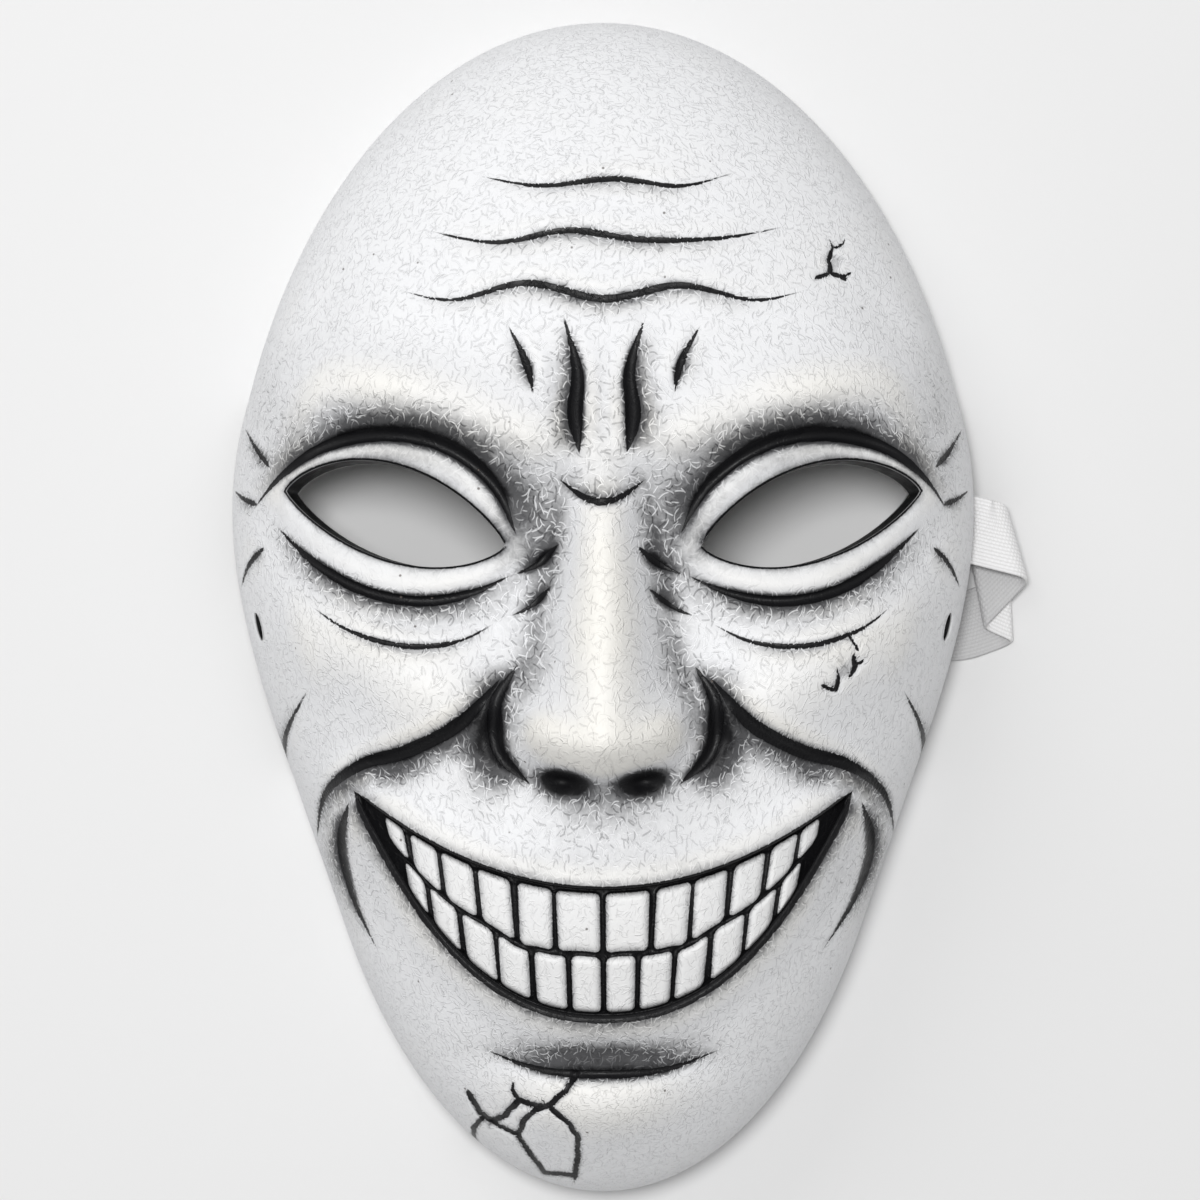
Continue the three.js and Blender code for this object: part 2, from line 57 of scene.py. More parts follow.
# value of a grid between its points, straight from each to the next
def readGrid(grid, j, i):
    j0 = np.clip(j.astype(int), 0, grid.shape[0] - 2)
    i0 = np.clip(i.astype(int), 0, grid.shape[1] - 2)
    tj, ti = [t.reshape(t.shape + (1,) * (grid.ndim - 2)) for t in (j - j0, i - i0)]
    low = mix(grid[j0, i0], grid[j0, i0 + 1], ti)
    return mix(low, mix(grid[j0 + 1, i0], grid[j0 + 1, i0 + 1], ti), tj)


# smooth curve through points: uneven Catmull-Rom by the root of each chord, then even steps along its length
def curveThrough(points, count):
    points = np.asarray(points, float)
    ends = [2 * points[0] - points[1], 2 * points[-1] - points[-2]]
    p = np.concatenate([ends[:1], points, ends[1:]])
    gap = np.maximum(np.linalg.norm(np.diff(p, axis=0), axis=1, keepdims=True) ** 0.5, 1e-6)
    p0, p1, p2, p3 = p[:-3], p[1:-2], p[2:-1], p[3:]
    g0, g1, g2 = gap[:-2], gap[1:-1], gap[2:]
    m1 = ((p1 - p0) / g0 - (p2 - p0) / (g0 + g1) + (p2 - p1) / g1) * g1
    m2 = ((p2 - p1) / g1 - (p3 - p1) / (g1 + g2) + (p3 - p2) / g2) * g1
    t = np.linspace(0, 1, 33)[:-1, None, None]
    fine = p1 + t * m1 + t**2 * (3 * (p2 - p1) - 2 * m1 - m2) + t**3 * (2 * (p1 - p2) + m1 + m2)
    fine = np.concatenate([fine.transpose(1, 0, 2).reshape(-1, p.shape[1]), points[-1:]])
    length = lengthAlong(fine)
    at = np.linspace(0, length[-1], count + 1)
    return np.stack([np.interp(at, length, fine[:, k]) for k in range(p.shape[1])], axis=1)


# mesh object from points in millimetres and lists of faces, with one float attribute for each field
def meshPiece(name, points, faces, fields, material):
    mesh = bpy.data.meshes.new(name)
    mesh.from_pydata((points * mm).tolist(), [], faces)
    for field, values in fields.items():
        layer = mesh.attributes.new(field, "FLOAT", "POINT")
        layer.data.foreach_set("value", np.ascontiguousarray(values, np.float32))
    mesh.polygons.foreach_set("use_smooth", np.ones(len(mesh.polygons), bool))
    mesh.materials.append(material)
    mesh.update()
    piece = bpy.data.objects.new(name, mesh)
    bpy.context.scene.collection.objects.link(piece)
    print(name, len(mesh.vertices), "points", len(mesh.polygons), "faces")
    return piece


# shell: the same dome, outline and soft forms as the solid, then folds, teeth, cracks and paint
maskShell = {
    "height": 262, "crownWidth": 170, "jawWidth": 138, "domeDepth": 58, "wall": 3,
    "fullness": 2.6, "fullnessChange": 0.3, "noseHook": 0.15, "rimRound": 0.5,
    "columns": {"nose": 30, "mouth": 48, "eyeEnd": 9, "side": 27},  # each count is a multiple of innerStep
    "rows": {"jaw": 84, "cheeks": 111, "brow": 123},
    "innerStep": 3, "mouthRows": 54, "mouthBackRows": 9,
    "archY": 4, "archLength": 84, "archRise": 11.2, "archReach": 30,
    "holeY": -4, "holeZ": 24, "holeColumns": 3, "holeRows": 12,
    "flatWidth": 120, "flatHeight": 165,  # half the size of the face laid flat
}
eyeHole = {
    "inner": (21, 13), "outer": (69, 25), "rise": 11.5, "drop": 9.5,
    "rim": 2.6, "rimWidth": 4, "edgeInk": 0.45,
}
grin = {
    "corner": (54, -40), "upperY": -60, "lowerY": -88, "lip": 3.5, "lipWidth": 4.5, "floor": 1,
    "upperEnds": (10.5, 19, 27, 34.5, 41, 46.5), "lowerEnds": (7.5, 15, 23, 30.5, 37.5, 43.5),
    "toothRise": 2.9, "toothRound": 1.3, "bevel": 1.7, "lean": 0.5, "gap": 0.42,
    "bite": 0.5, "biteGap": 0.014, "gum": 0.03, "lowerInk": 1.3, "upperInk": 0.55,
}
# soft forms: x, y, across, along, tilt in degrees, rise, 1 for one each side
softForms = {
    "frown": (0, 40, 14, 10, 0, 4, 0),
    "innerBrow": (20, 37, 16, 8, 16, 7, 1),
    "outerBrow": (48, 47, 21, 8.5, 6, 9.5, 1),
    "browEnd": (69, 37, 9, 12, 30, 6, 1),
    "eyeSocket": (44, 19, 31, 16, 13, -10, 1),
    "eyelids": (45, 19, 24, 14, 13, 6, 1),
    "temple": (68, 68, 12, 20, 0, -3.5, 1),
    "cheekbone": (54, -9, 21, 12, 18, 9, 1),
    "cheek": (36, -21, 16, 12, -25, 6, 1),
    "cheekHollow": (58, -67, 13, 20, 15, -5, 1),
    "muzzle": (0, -62, 46, 26, 0, 7, 0),
    "underLip": (0, -98, 28, 5, 0, -3, 0),
    "chin": (0, -112, 22, 13, 0, 9, 0),
    "smileFold": (41, -34, 22, 4, -25, -3, 1),
    "noseTip": (0, -25, 9, 8, 0, 3.5, 0),
    "noseWing": (14, -26, 7, 7.5, 0, 10, 1),
    "nostril": (8, -36, 4.2, 3, 0, -6, 1),
}
# bridge of the nose from the brow down: y, half width, rise
noseTable = np.array([
    (38, 9, 0), (27, 10, 5), (15, 12, 13), (3, 14.5, 19.5), (-9, 17, 23.5),
    (-19, 19.5, 25.5), (-26, 20, 24.5), (-32, 19, 17), (-37, 16, 6), (-42, 14, 0),
])
# lines cut into the face: pair, groove depth, half width of the ink, taper at each end, reach of the wash and
# painted shade to the left (+) or right (-) of the line, points
faceLines = {
    "lidFold": (1, 1.9, 1.5, 0.3, 0.45, 4.2, (
        (17, 14), (23, 26), (33, 34), (46, 37), (60, 34.5), (70, 28), (77, 20),
    )),
    "bagFold": (1, 1.6, 1.15, 0.35, 0.4, -4, ((18, 7), (27, 3), (38, 1), (50, 3), (61, 9), (71, 18))),
    "lowerBag": (1, 1.2, 0.6, 0.45, 0.5, -2.5, ((22, -3), (31, -7.5), (43, -8.5), (55, -5), (64, 1))),
    "crowFootHigh": (1, 0.9, 0.6, 0.2, 0.8, -1.6, ((72.5, 30), (76, 34), (80, 40))),
    "crowFootMiddle": (1, 1.0, 0.6, 0.2, 0.8, -1.6, ((75, 22), (78.5, 23.5), (82, 26))),
    "crowFootLow": (1, 0.9, 0.6, 0.2, 0.8, -1.6, ((73, 13), (77, 9), (80, 3))),
    "frownLine": (1, 2.2, 1.7, 0.3, 0.75, -3.4, ((5, 32), (6.2, 41), (5.6, 50), (9, 63))),
    "frownSide": (1, 1.4, 0.85, 0.4, 0.7, -2.4, ((15, 45), (16.5, 52), (21, 61))),
    "noseRoot": (0, 1.2, 0.75, 0.45, 0.45, 2.4, ((-10, 27.5), (-4, 24), (0, 23.3), (4, 24), (10, 27.5))),
    "noseWrinkle": (1, 1.0, 0.65, 0.4, 0.6, 2, ((8, 14), (13, 9), (18.5, 6.5))),
    "noseWrinkleLow": (1, 0.9, 0.55, 0.4, 0.7, 2, ((10, 5), (15, 0), (20.5, -2.5))),
    "wingGroove": (1, 1.8, 1.35, 0.4, 0.35, 5, ((18.5, -12), (23.5, -21), (22.5, -31), (15.5, -38.5))),
    "smileFold": (1, 2.1, 1.5, 0.25, 0.6, -3.2, (
        (22, -15), (31, -25), (42, -31), (53, -34.5), (61, -41), (64.5, -53),
    )),
    "laughLine": (1, 1.4, 0.85, 0.5, 0.6, 2.6, ((64, -17), (70.5, -29), (72, -43), (67, -59))),
    "lipCorner": (1, 1.5, 0.95, 0.2, 0.75, 2, ((55.5, -42), (58, -52), (55, -64), (47.5, -77))),
    "chinCrease": (0, 1.4, 0.85, 0.45, 0.45, 4.4, (
        (-27, -95.5), (-14, -100), (0, -101), (14, -100), (27, -95.5),
    )),
    "browWrinkle": (0, 1.3, 0.85, 0.45, 0.45, -2.6, (
        (-47, 69), (-33, 66), (-17, 69.5), (0, 66), (16, 69), (33, 66), (46, 69),
    )),
    "midWrinkle": (0, 1.2, 0.75, 0.45, 0.5, -2.6, (
        (-41, 82), (-24, 78.5), (-8, 81), (8, 79), (25, 79.5), (42, 83),
    )),
    "highWrinkle": (0, 1.0, 0.65, 0.5, 0.5, -2.4, ((-30, 94), (-14, 91), (2, 92.5), (17, 91), (31, 95))),
}
# cracks: half width, taper at the end, and corners of the broken line
crackLines = {
    "chinPlate": (0.62, 0, (
        (-5.5, -101), (-8, -104.2), (-11.8, -108), (-7.6, -111.6), (-5.4, -115.5), (-6, -125.4), (-13, -125),
        (-18.4, -116), (-17.4, -111.8), (-14.8, -109.2), (-11.8, -108),
    )),
    "chinLink": (0.7, 0.1, (
        (-29.4, -106), (-27, -110.8), (-24.4, -112.6), (-21.2, -111), (-18.4, -107.2), (-14.6, -108.2),
        (-12, -108),
    )),
    "chinEdge": (0.6, 0.35, ((-26.2, -111.8), (-28.6, -115), (-28.8, -118.4), (-27, -121.6))),
    "chinInner": (0.55, 0.1, ((-24.6, -112.8), (-20.8, -114.6), (-18.4, -115.8))),
    "chinSpur": (0.55, 0.6, ((-18.4, -107.2), (-19.8, -104.6), (-19.2, -102.6))),
    "cheekFoot": (0.5, 0.5, ((46.6, -17), (49.8, -17.9), (50.2, -15.2), (49.6, -12.4))),
    "cheekSide": (0.5, 0.4, ((53.6, -10.4), (53.9, -13), (52.4, -16))),
    "cheekTop": (0.35, 0.5, ((54.6, -9.4), (53.2, -7.4), (52.2, -5))),
    "cheekSpur": (0.35, 0.6, ((53.9, -12.6), (55.6, -12), (56.2, -10.6))),
    "browTrunk": (0.5, 0.4, ((46, 71), (49.4, 72.4), (49, 75.4), (50.2, 78.2), (49, 80.6))),
    "browSide": (0.5, 0.5, ((49.4, 72.4), (52.6, 71.6), (54.6, 73.2))),
    "browSpur": (0.35, 0.6, ((50.2, 78), (52.4, 79), (53, 80.8))),
}
# chipped places and, with a depth below nothing, flakes that stand up: x, y, radius, depth
chips = [
    (50.6, 75, 2.4, 0.6), (51.8, -13.4, 2.6, 0.7), (50.9, -12.2, 1.3, -0.9), (48.4, 74.6, 1.2, -0.8),
    (-16.6, -107.8, 1.8, 0.6), (-25, -113.2, 1.8, 0.6),
]
# airbrushed shade: x, y, across, along, tilt, strength, 1 for one each side
airbrush = {
    "eye": (46, 21, 34, 19, 13, 0.34, 1),
    "underBrow": (39, 37, 25, 6, 9, 0.4, 1),
    "eyeCorner": (18, 16, 7, 10, 0, 0.5, 1),
    "noseSide": (24, -27, 6, 11, 10, 0.85, 1),
    "nostril": (8, -37, 5.2, 3.4, 0, 2.2, 1),
    "underNose": (0, -45, 15, 6, 0, 0.42, 0),
    "smile": (46, -35, 16, 5, -28, 0.24, 1),
    "mouthCorner": (59, -49, 6, 12, 10, 0.2, 1),
    "upperLip": (0, -55, 40, 4, 0, 0.22, 0),
    "underLip": (0, -97, 28, 5.5, 0, 0.42, 0),
    "frown": (0, 42, 12, 15, 0, 0.32, 0),
    "temple": (75, 56, 8, 26, -8, 0.2, 1),
    "cheekHollow": (62, -66, 9, 18, 15, 0.22, 1),
}


# half width of the outline before it closes in like an ellipse: eases from the jaw's to the crown's
def halfWidthAt(yShare):
    return mix(maskShell["jawWidth"], maskShell["crownWidth"], smoothStep(yShare, -0.55, 0.3)) / 2


# point of the bare dome for a place in the square: the square is bent to a disc, the disc stretched to
# the outline, and the height is a superellipse from the middle to the rim
def domePoint(u, v, inset):
    a = u * np.sqrt(1 - v * v / 2)
    b = v * np.sqrt(1 - u * u / 2)
    reach = np.maximum(1e-9, np.hypot(a, b))
    out = np.sin(np.minimum(1, reach) * np.pi / 2)
    power = maskShell["fullness"] - maskShell["fullnessChange"] * b / reach
    rise = np.maximum(0, 1 - out**power) ** (1 / power)
    rise = np.where(np.maximum(np.abs(u), np.abs(v)) > 1 - 1e-9, 0, rise)
    x = a / reach * out * (halfWidthAt(b / reach * out) - inset)
    y = b / reach * out * (maskShell["height"] / 2 - inset)
    return x, y, rise * (maskShell["domeDepth"] - inset)


# share of the way from the middle to the outline, across and up, of a point seen from the front
def outlineShares(x, y):
    yShare = np.asarray(y) / (maskShell["height"] / 2)
    return np.asarray(x) / halfWidthAt(yShare), yShare


# place in the disc under a point seen from the front: the dome's bend undone
def discPlace(x, y):
    xShare, yShare = outlineShares(x, y)
    out = np.maximum(1e-9, np.hypot(xShare, yShare))
    reach = np.arcsin(np.minimum(1, out)) * 2 / np.pi / out
    return xShare * reach, yShare * reach


# place in the square under such a point: the disc drawn out to its corners
def squarePlace(x, y):
    a, b = discPlace(x, y)
    lean = a * a - b * b

    def half(total, part):
        return np.sqrt(np.maximum(0, total + 2 * math.sqrt(2) * part)) / 2

    return half(2 + lean, a) - half(2 + lean, -a), half(2 - lean, b) - half(2 - lean, -b)


# column of the nose table by a smooth curve through its rows
def noseColumn(y, column):
    rows, values = -noseTable[:, 0], noseTable[:, column]
    i = np.clip(np.searchsorted(rows, -y) - 1, 0, len(rows) - 2)
    t = np.clip((-y - rows[i]) / (rows[i + 1] - rows[i]), 0, 1)
    before, after = values[np.maximum(i - 1, 0)], values[np.minimum(i + 2, len(rows) - 1)]
    start, end = (values[i + 1] - before) / 2, (after - values[i]) / 2
    step = values[i + 1] - values[i]
    return values[i] + t * (start + t * (3 * step - 2 * start - end + t * (start + end - 2 * step)))


# bridge of the nose: the square of a parabola across, as high as its table says
def noseRise(x, y):
    share = np.minimum(1, np.abs(x) / noseColumn(y, 1))
    return np.maximum(0, noseColumn(y, 2)) * (1 - share * share) ** 2


# bells over tilted ellipses, summed, with a mirrored one where a form has one each side
def bells(table, x, y):
    total = np.zeros_like(x)
    for fx, fy, across, along, tilt, rise, pair in table.values():
        c, s = math.cos(math.radians(tilt)), math.sin(math.radians(tilt))
        for side in (1, -1)[: 1 + pair]:
            dx, dy = side * x - fx, y - fy
            total += rise * np.exp(-(((dx * c + dy * s) / across) ** 2) - ((dy * c - dx * s) / along) ** 2)
    return total


# 1 over the face, easing to 0 between two shares of the way out to the rim
def rimFade(x, y, start, end):
    return 1 - smoothStep(np.hypot(*outlineShares(x, y)), start, end)


# nose and soft forms together, fading out towards the rim
def broadRelief(x, y):
    return rimFade(x, y, 0.8, 0.97) * (noseRise(x, y) + bells(softForms, x, y))


# edge of the upper (1) or lower (-1) eyelid from the inner corner (0) to the outer one (1)
def lidEdge(share, side):
    arch = (4 * share * (1 - share)) ** 0.8
    lift = eyeHole["rise"] if side > 0 else -eyeHole["drop"]
    (x0, y0), (x1, y1) = eyeHole["inner"], eyeHole["outer"]
    return mix(x0, x1, share), mix(y0, y1, share) + lift * arch


# edge of the upper (1) or lower (-1) lip at a distance across: a bowed curve up to the corners
def lipEdge(x, side):
    share = np.minimum(1, np.abs(x) / grin["corner"][0])
    middle = grin["upperY"] if side > 0 else grin["lowerY"]
    return mix(middle, grin["corner"][1], share ** (2 if side > 0 else 2.3))


# nearest place on a run of points: distance, share of the run's length there, and which side of it
def nearestOnRun(run, x, y):
    step = np.diff(run, axis=0)
    size = np.maximum(1e-9, np.linalg.norm(step, axis=1))
    begun = np.concatenate([[0], np.cumsum(size)])
    best, share, side = np.full(x.shape, 1e9), np.zeros(x.shape), np.zeros(x.shape)
    for (x0, y0), (dx, dy), length, start in zip(run[:-1], step, size, begun):
        t = np.clip(((x - x0) * dx + (y - y0) * dy) / length**2, 0, 1)
        away = np.hypot(x - x0 - t * dx, y - y0 - t * dy)
        closer = away < best
        best = np.where(closer, away, best)
        share = np.where(closer, (start + t * length) / begun[-1], share)
        side = np.where(closer, np.sign(dx * (y - y0) - dy * (x - x0)), side)
    return best, share, side


# round bead a little way out from an edge
def beadRise(distance, height, width):
    return height * np.exp(-(((distance - width * 0.45) / width) ** 2))


lidShare = np.linspace(0, 1, 41)
eyeRun = np.concatenate([np.stack(lidEdge(lidShare, 1), 1), np.stack(lidEdge(1 - lidShare, -1), 1)])
lipX = np.linspace(-grin["corner"][0], grin["corner"][0], 49)
upperLip, lowerLip = [np.stack([lipX, lipEdge(lipX, side)], 1) for side in (1, -1)]
lipRun = np.concatenate([upperLip, lowerLip[::-1]])
rng = np.random.default_rng(41)
lineRoom, lineReach = 7.5, 14  # least gap between the lines of one set, and how far a line is felt


# every painted line: pair, depth, half width, tapers, reach of the wash, how far the two sides differ, points
def gatherLines():
    lines = [(*row[:6], 1, curveThrough(row[6], 9 * len(row[6]))) for row in faceLines.values()]
    lines.append((1, 0, eyeHole["edgeInk"], 0, 0, 0.7, 0, eyeRun))
    lines.append((0, 0, grin["lowerInk"], 0.04, 0.04, -2.2, 0, lowerLip))
    lines.append((0, 0, grin["upperInk"], 0.04, 0.04, 1.6, 0, upperLip))
    for half, taper, corners in crackLines.values():
        at = np.arange(0, len(corners) - 0.99, 0.25)
        run = np.stack([np.interp(at, np.arange(len(corners)), values) for values in zip(*corners)], axis=1)
        run[1:-1] += rng.normal(0, 0.12, run[1:-1].shape)
        lines.append((0, 0.9, half, 0, taper, 0.6, 0, run))
    return lines


# least distance between two lines, both folded to one side where either has a mirrored copy
def clearance(first, second):
    a, b = first[-1], second[-1]
    if first[0] or second[0]:
        a, b = [np.stack([np.abs(run[:, 0]), run[:, 1]], 1) for run in (a, b)]
    return np.linalg.norm(a[:, None] - b[None], axis=2).min()


# sets of lines that keep well apart, so that each set's distance belongs to one line near any place
def lineSets(lines):
    sets = []
    for line in lines:
        room = [members for members in sets if min(clearance(line, other) for other in members) > lineRoom]
        if room:
            room[0].append(line)
        else:
            sets.append([line])
    return sets


inkSets = lineSets(gatherLines())
print("painted lines in", len(inkSets), "sets")


# grooves with a soft swelling beside each, the wash and painted shade that gather along them, and for each
# set the signed distance to its nearest line and that line's half width, so that the shader can draw it finer
# than the mesh
def lineFields(x, y):
    relief, washAndShade = np.zeros_like(x), np.zeros_like(x)
    sides, halves = [[np.full(x.shape, v) for _ in inkSets] for v in (9.0, 0.0)]
    lean = 0.7 * np.sin(y / 17 + 0.6) + 0.4 * np.sin(y / 7.3)  # the two sides are not quite alike
    for k, members in enumerate(inkSets):
        nearest = np.full(x.shape, 99.0)
        for pair, depth, half, startTaper, endTaper, reach, loose, run in members:
            xs = np.abs(x) + np.sign(x) * lean * loose if pair else x + 0.5 * lean * loose
            low, high = run.min(axis=0) - lineReach, run.max(axis=0) + lineReach
            near = np.nonzero((xs > low[0]) & (xs < high[0]) & (y > low[1]) & (y < high[1]))
            away, share, side = nearestOnRun(run, xs[near], y[near])
            taper = smoothStep(share, 0, startTaper + 1e-6) * smoothStep(1 - share, 0, endTaper + 1e-6)
            taper = taper**0.6
            h = half * taper
            groove = 1 - smoothStep(away, 0.3 * h, h + 0.8)
            swell = 0.3 * np.exp(-(((away - h - 2.1) / 1.5) ** 2)) * (loose > 0)
            relief[near] -= depth * taper * (groove - swell)
            spread = np.where(side * reach > 0, abs(reach), 0.12 * abs(reach) + 0.2)
            soakAndShade = np.minimum(1, h / 0.9) * np.exp(-((np.maximum(0, away - h) / spread) ** 1.3))
            washAndShade[near] = np.maximum(washAndShade[near], soakAndShade)
            closer = away < nearest[near]
            shown = h * (1 - smoothStep(away, half + 0.9, half + 2.1))
            nearest[near] = np.where(closer, away, nearest[near])
            sides[k][near] = np.where(closer, side * away, sides[k][near])
            halves[k][near] = np.where(closer, shown, halves[k][near])
    for cx, cy, radius, depth in chips:
        around = np.arctan2(y - cy, x - cx)
        ragged = radius * (1 + 0.25 * np.sin(3 * around + cx) + 0.15 * np.sin(7 * around + cy))
        dent = 1 - smoothStep(np.hypot(x - cx, y - cy), 0.5 * ragged, ragged)
        relief -= depth * dent
        # wash and painted shade in the chipped dents
        washAndShade = np.maximum(washAndShade, 0.55 * dent)
    return relief, washAndShade, sides, halves


# everything that stands on the dome, apart from the teeth, and the ink fields with it
def faceRelief(x, y):
    lids = beadRise(nearestOnRun(eyeRun, np.abs(x), y)[0], eyeHole["rim"], eyeHole["rimWidth"])
    lips = beadRise(nearestOnRun(lipRun, x, y)[0], grin["lip"], grin["lipWidth"])
    grooves, washAndShade, sides, halves = lineFields(x, y)
    # uneven casting: waves across and along that bend each other
    cast = 0.2 * np.sin(x / 6.1 + 1.7 * np.sin(y / 9.7)) * np.sin(y / 7.3 + 1.3 * np.sin(x / 8.9))
    relief = broadRelief(x, y) + lids + lips + (grooves + cast) * rimFade(x, y, 0.92, 1)
    return relief, washAndShade, sides, halves


# columns: even steps between the middle, the eye corners, the mouth corner and the side
eyeInU, eyeInV = squarePlace(*eyeHole["inner"])
eyeOutU, eyeOutV = squarePlace(*eyeHole["outer"])
cornerU, cornerV = squarePlace(*grin["corner"])
counts = maskShell["columns"]
stops = [0, eyeInU, cornerU, eyeOutU, 1]
spans = zip(stops, stops[1:], counts.values())
halfColumns = np.concatenate([np.linspace(a, b, n + 1)[1:] for a, b, n in spans])
columnU = np.concatenate([-halfColumns[::-1], [0], halfColumns])
middle = len(halfColumns)
eyeFrom, mouthTo = counts["nose"], counts["nose"] + counts["mouth"]
eyeTo = mouthTo + counts["eyeEnd"]
fromMiddle = np.abs(np.arange(len(columnU)) - middle)
inMouth = fromMiddle <= mouthTo
inEye = (fromMiddle >= eyeFrom) & (fromMiddle <= eyeTo)


# row that follows an edge of the face: v for each column
def rowAlong(x, y, u):
    us, vs = squarePlace(x, y)
    return np.interp(u, us, vs)


fineShare = np.linspace(0, 1, 161)
lipsX = np.linspace(-grin["corner"][0], grin["corner"][0], 161)
lipRows = [rowAlong(lipsX, lipEdge(lipsX, side), columnU) for side in (-1, 1)]
lipLow, lipHigh = [np.where(inMouth, row, cornerV) for row in lipRows]
besideEye = np.where(fromMiddle < eyeFrom, eyeInV, eyeOutV)
lidRows = [rowAlong(*lidEdge(fineShare, side), np.abs(columnU)) for side in (-1, 1)]
lidLow, lidHigh = [np.where(inEye, row, besideEye) for row in lidRows]


# shares of a band's height, closer together at its ends by the given amounts
def bandShares(count, lowEnd, highEnd):
    t = np.linspace(0, 1, count + 1)
    pace = 1 - lowEnd * np.exp(-((t / 0.22) ** 2)) - highEnd * np.exp(-(((1 - t) / 0.22) ** 2))
    share = np.concatenate([[0], np.cumsum((pace[1:] + pace[:-1]) / 2)])
    return share / share[-1]


rows = maskShell["rows"]
whole = np.ones_like(columnU)
bands = [
    (-whole, lipLow, bandShares(rows["jaw"], 0, 0.45)),
    (lipHigh, lidLow, bandShares(rows["cheeks"], 0.35, 0.35)),
    (lidHigh, whole, bandShares(rows["brow"], 0.5, 0)),
]
bandV = [mix(low[None], high[None], share[:, None]) for low, high, share in bands]


# the low arches in the rim at both sides: the wall above them is drawn up a little less the higher it is
def liftArch(x, y, z):
    along = np.clip((y - maskShell["archY"]) / (maskShell["archLength"] / 2), -1, 1)
    lift = maskShell["archRise"] * (1 - along**2) ** 0.75 * (np.abs(x) > 45)
    return z + lift * np.maximum(0, 1 - z / maskShell["archReach"]) ** 2


# outer face for a grid of places, with its paint fields
def outerGrid(v):
    u = np.broadcast_to(columnU, v.shape)
    x, y, z = domePoint(u, v, 0)
    relief, washAndShade, sides, halves = faceRelief(x, y)
    rim = np.maximum(np.abs(u), np.abs(v)) > 1 - 1e-9
    z = liftArch(x, y, z + relief * ~rim) + maskShell["rimRound"] * rim
    return np.stack([x, y - maskShell["noseHook"] * noseRise(x, y), z], -1), (x, y), washAndShade, sides, halves


# inner face: the smaller dome with the lowest of the broad forms around each point
def innerGrid(u, v):
    wall = maskShell["wall"]
    x, y, z = domePoint(np.broadcast_to(u, v.shape), v, wall)
    relief = broadRelief(x, y)
    for angle in np.linspace(0, 2 * np.pi, 9)[1:]:
        relief = np.minimum(relief, broadRelief(x + wall * np.cos(angle), y + wall * np.sin(angle)))
    z = liftArch(x, y, z + relief * smoothStep(z, 0, 12))
    return np.stack([x, y - maskShell["noseHook"] * noseRise(x, y), z], -1)


# turns a block of a grid into an oval opening: places round the block are drawn in to the oval and the points
# are read again between the old ones
def ovalAt(grid, row, column, halfRows, halfColumns):
    j, i = np.meshgrid(np.arange(grid.shape[0]), np.arange(grid.shape[1]), indexing="ij")
    b, a = (j - row) / halfRows, (i - column) / halfColumns
    square, disc = np.maximum(np.abs(a), np.abs(b)), np.maximum(1e-9, np.hypot(a, b))
    pull = mix(square / disc, 1, smoothStep(square, 1, 3.2))
    toJ = np.clip(row + b * pull * halfRows, 0, grid.shape[0] - 1)
    toI = np.clip(column + a * pull * halfColumns, 0, grid.shape[1] - 1)
    return readGrid(grid, toJ, toI)


# teeth: each tooth is a pillow over a leaning box with round corners, between two columns of the mesh; the
# distance in from its edge is kept for the ink
def mouthGrid():
    count = maskShell["mouthRows"]
    q = bandShares(count, 0.7, 0.7)[:, None]
    u = columnU[inMouth]
    v = mix(lipLow[inMouth][None], lipHigh[inMouth][None], q)
    x, y, z = domePoint(np.broadcast_to(u, v.shape), v, 0)
    fromMid = fromMiddle[inMouth][None]
    outX = np.abs(x[count // 2])[mouthTo:]  # distance from the middle of each column of one side
    tall = lipEdge(outX, 1)[fromMid] - lipEdge(outX, -1)[fromMid]
    bite = grin["bite"] - 0.035 * np.exp(-(((fromMid - 33) / 4.5) ** 2)) + 0.012 * np.sin(fromMid / 5.0)
    edge = np.full(v.shape, -1.0)
    for row, ends in ((1, grin["upperEnds"]), (-1, grin["lowerEnds"])):
        endU = squarePlace(np.array(ends), lipEdge(np.array(ends), row) - row * 6)[0]
        gaps = np.concatenate([[0], [int(np.argmin(np.abs(halfColumns - e))) + 1 for e in endU]])
        k = np.clip(np.searchsorted(gaps, fromMid, side="right") - 1, 0, len(gaps) - 2)
        lean = grin["lean"] * np.sin(2.3 * k + 1.7 * np.sign(x) + row) * (q - bite)
        fromNear, fromFar = outX[fromMid] - outX[gaps[k]], outX[gaps[k + 1]] - outX[fromMid]
        aside = np.minimum(fromNear + lean, fromFar - lean) - grin["gap"]
        lift = row * (q - bite) - grin["biteGap"]
        room = np.where(row > 0, 1 - bite, bite) - grin["biteGap"] - grin["gum"]
        upDown = np.minimum(lift, room - lift) * tall
        rounding = grin["toothRound"]
        corner = rounding - np.hypot(np.maximum(0, rounding - aside), np.maximum(0, rounding - upDown))
        inset = np.where((aside < rounding) & (upDown < rounding), corner, np.minimum(aside, upDown))
        edge = np.where(row * (q - bite) > 0, inset, edge)
    height = np.sqrt(1 - (1 - np.clip(edge / grin["bevel"], 0, 1)) ** 2)
    z = z + broadRelief(x, y) - grin["floor"] + grin["toothRise"] * height
    return np.stack([x, y, z], -1), (x, y), np.maximum(edge, -1), height


print("face: working out the surfaces")
outer, seen, lineWashAndShade, sides, halves = zip(*[outerGrid(v) for v in bandV])
outer = list(outer)
step = maskShell["innerStep"]
innerU = columnU[::step]
inner = [innerGrid(innerU, v[::step, ::step]) for v in bandV]
innerFine = [innerGrid(columnU, v) for v in bandV]
mouth, mouthSeen, toothEdge, toothHeight = mouthGrid()
backShare = np.linspace(0, 1, maskShell["mouthBackRows"] + 1)[:, None]
backIn = inMouth[::step]
backLow, backHigh = [edge[::step][backIn][None] for edge in (lipLow, lipHigh)]
mouthBack = innerGrid(innerU[backIn], mix(backLow, backHigh, backShare))

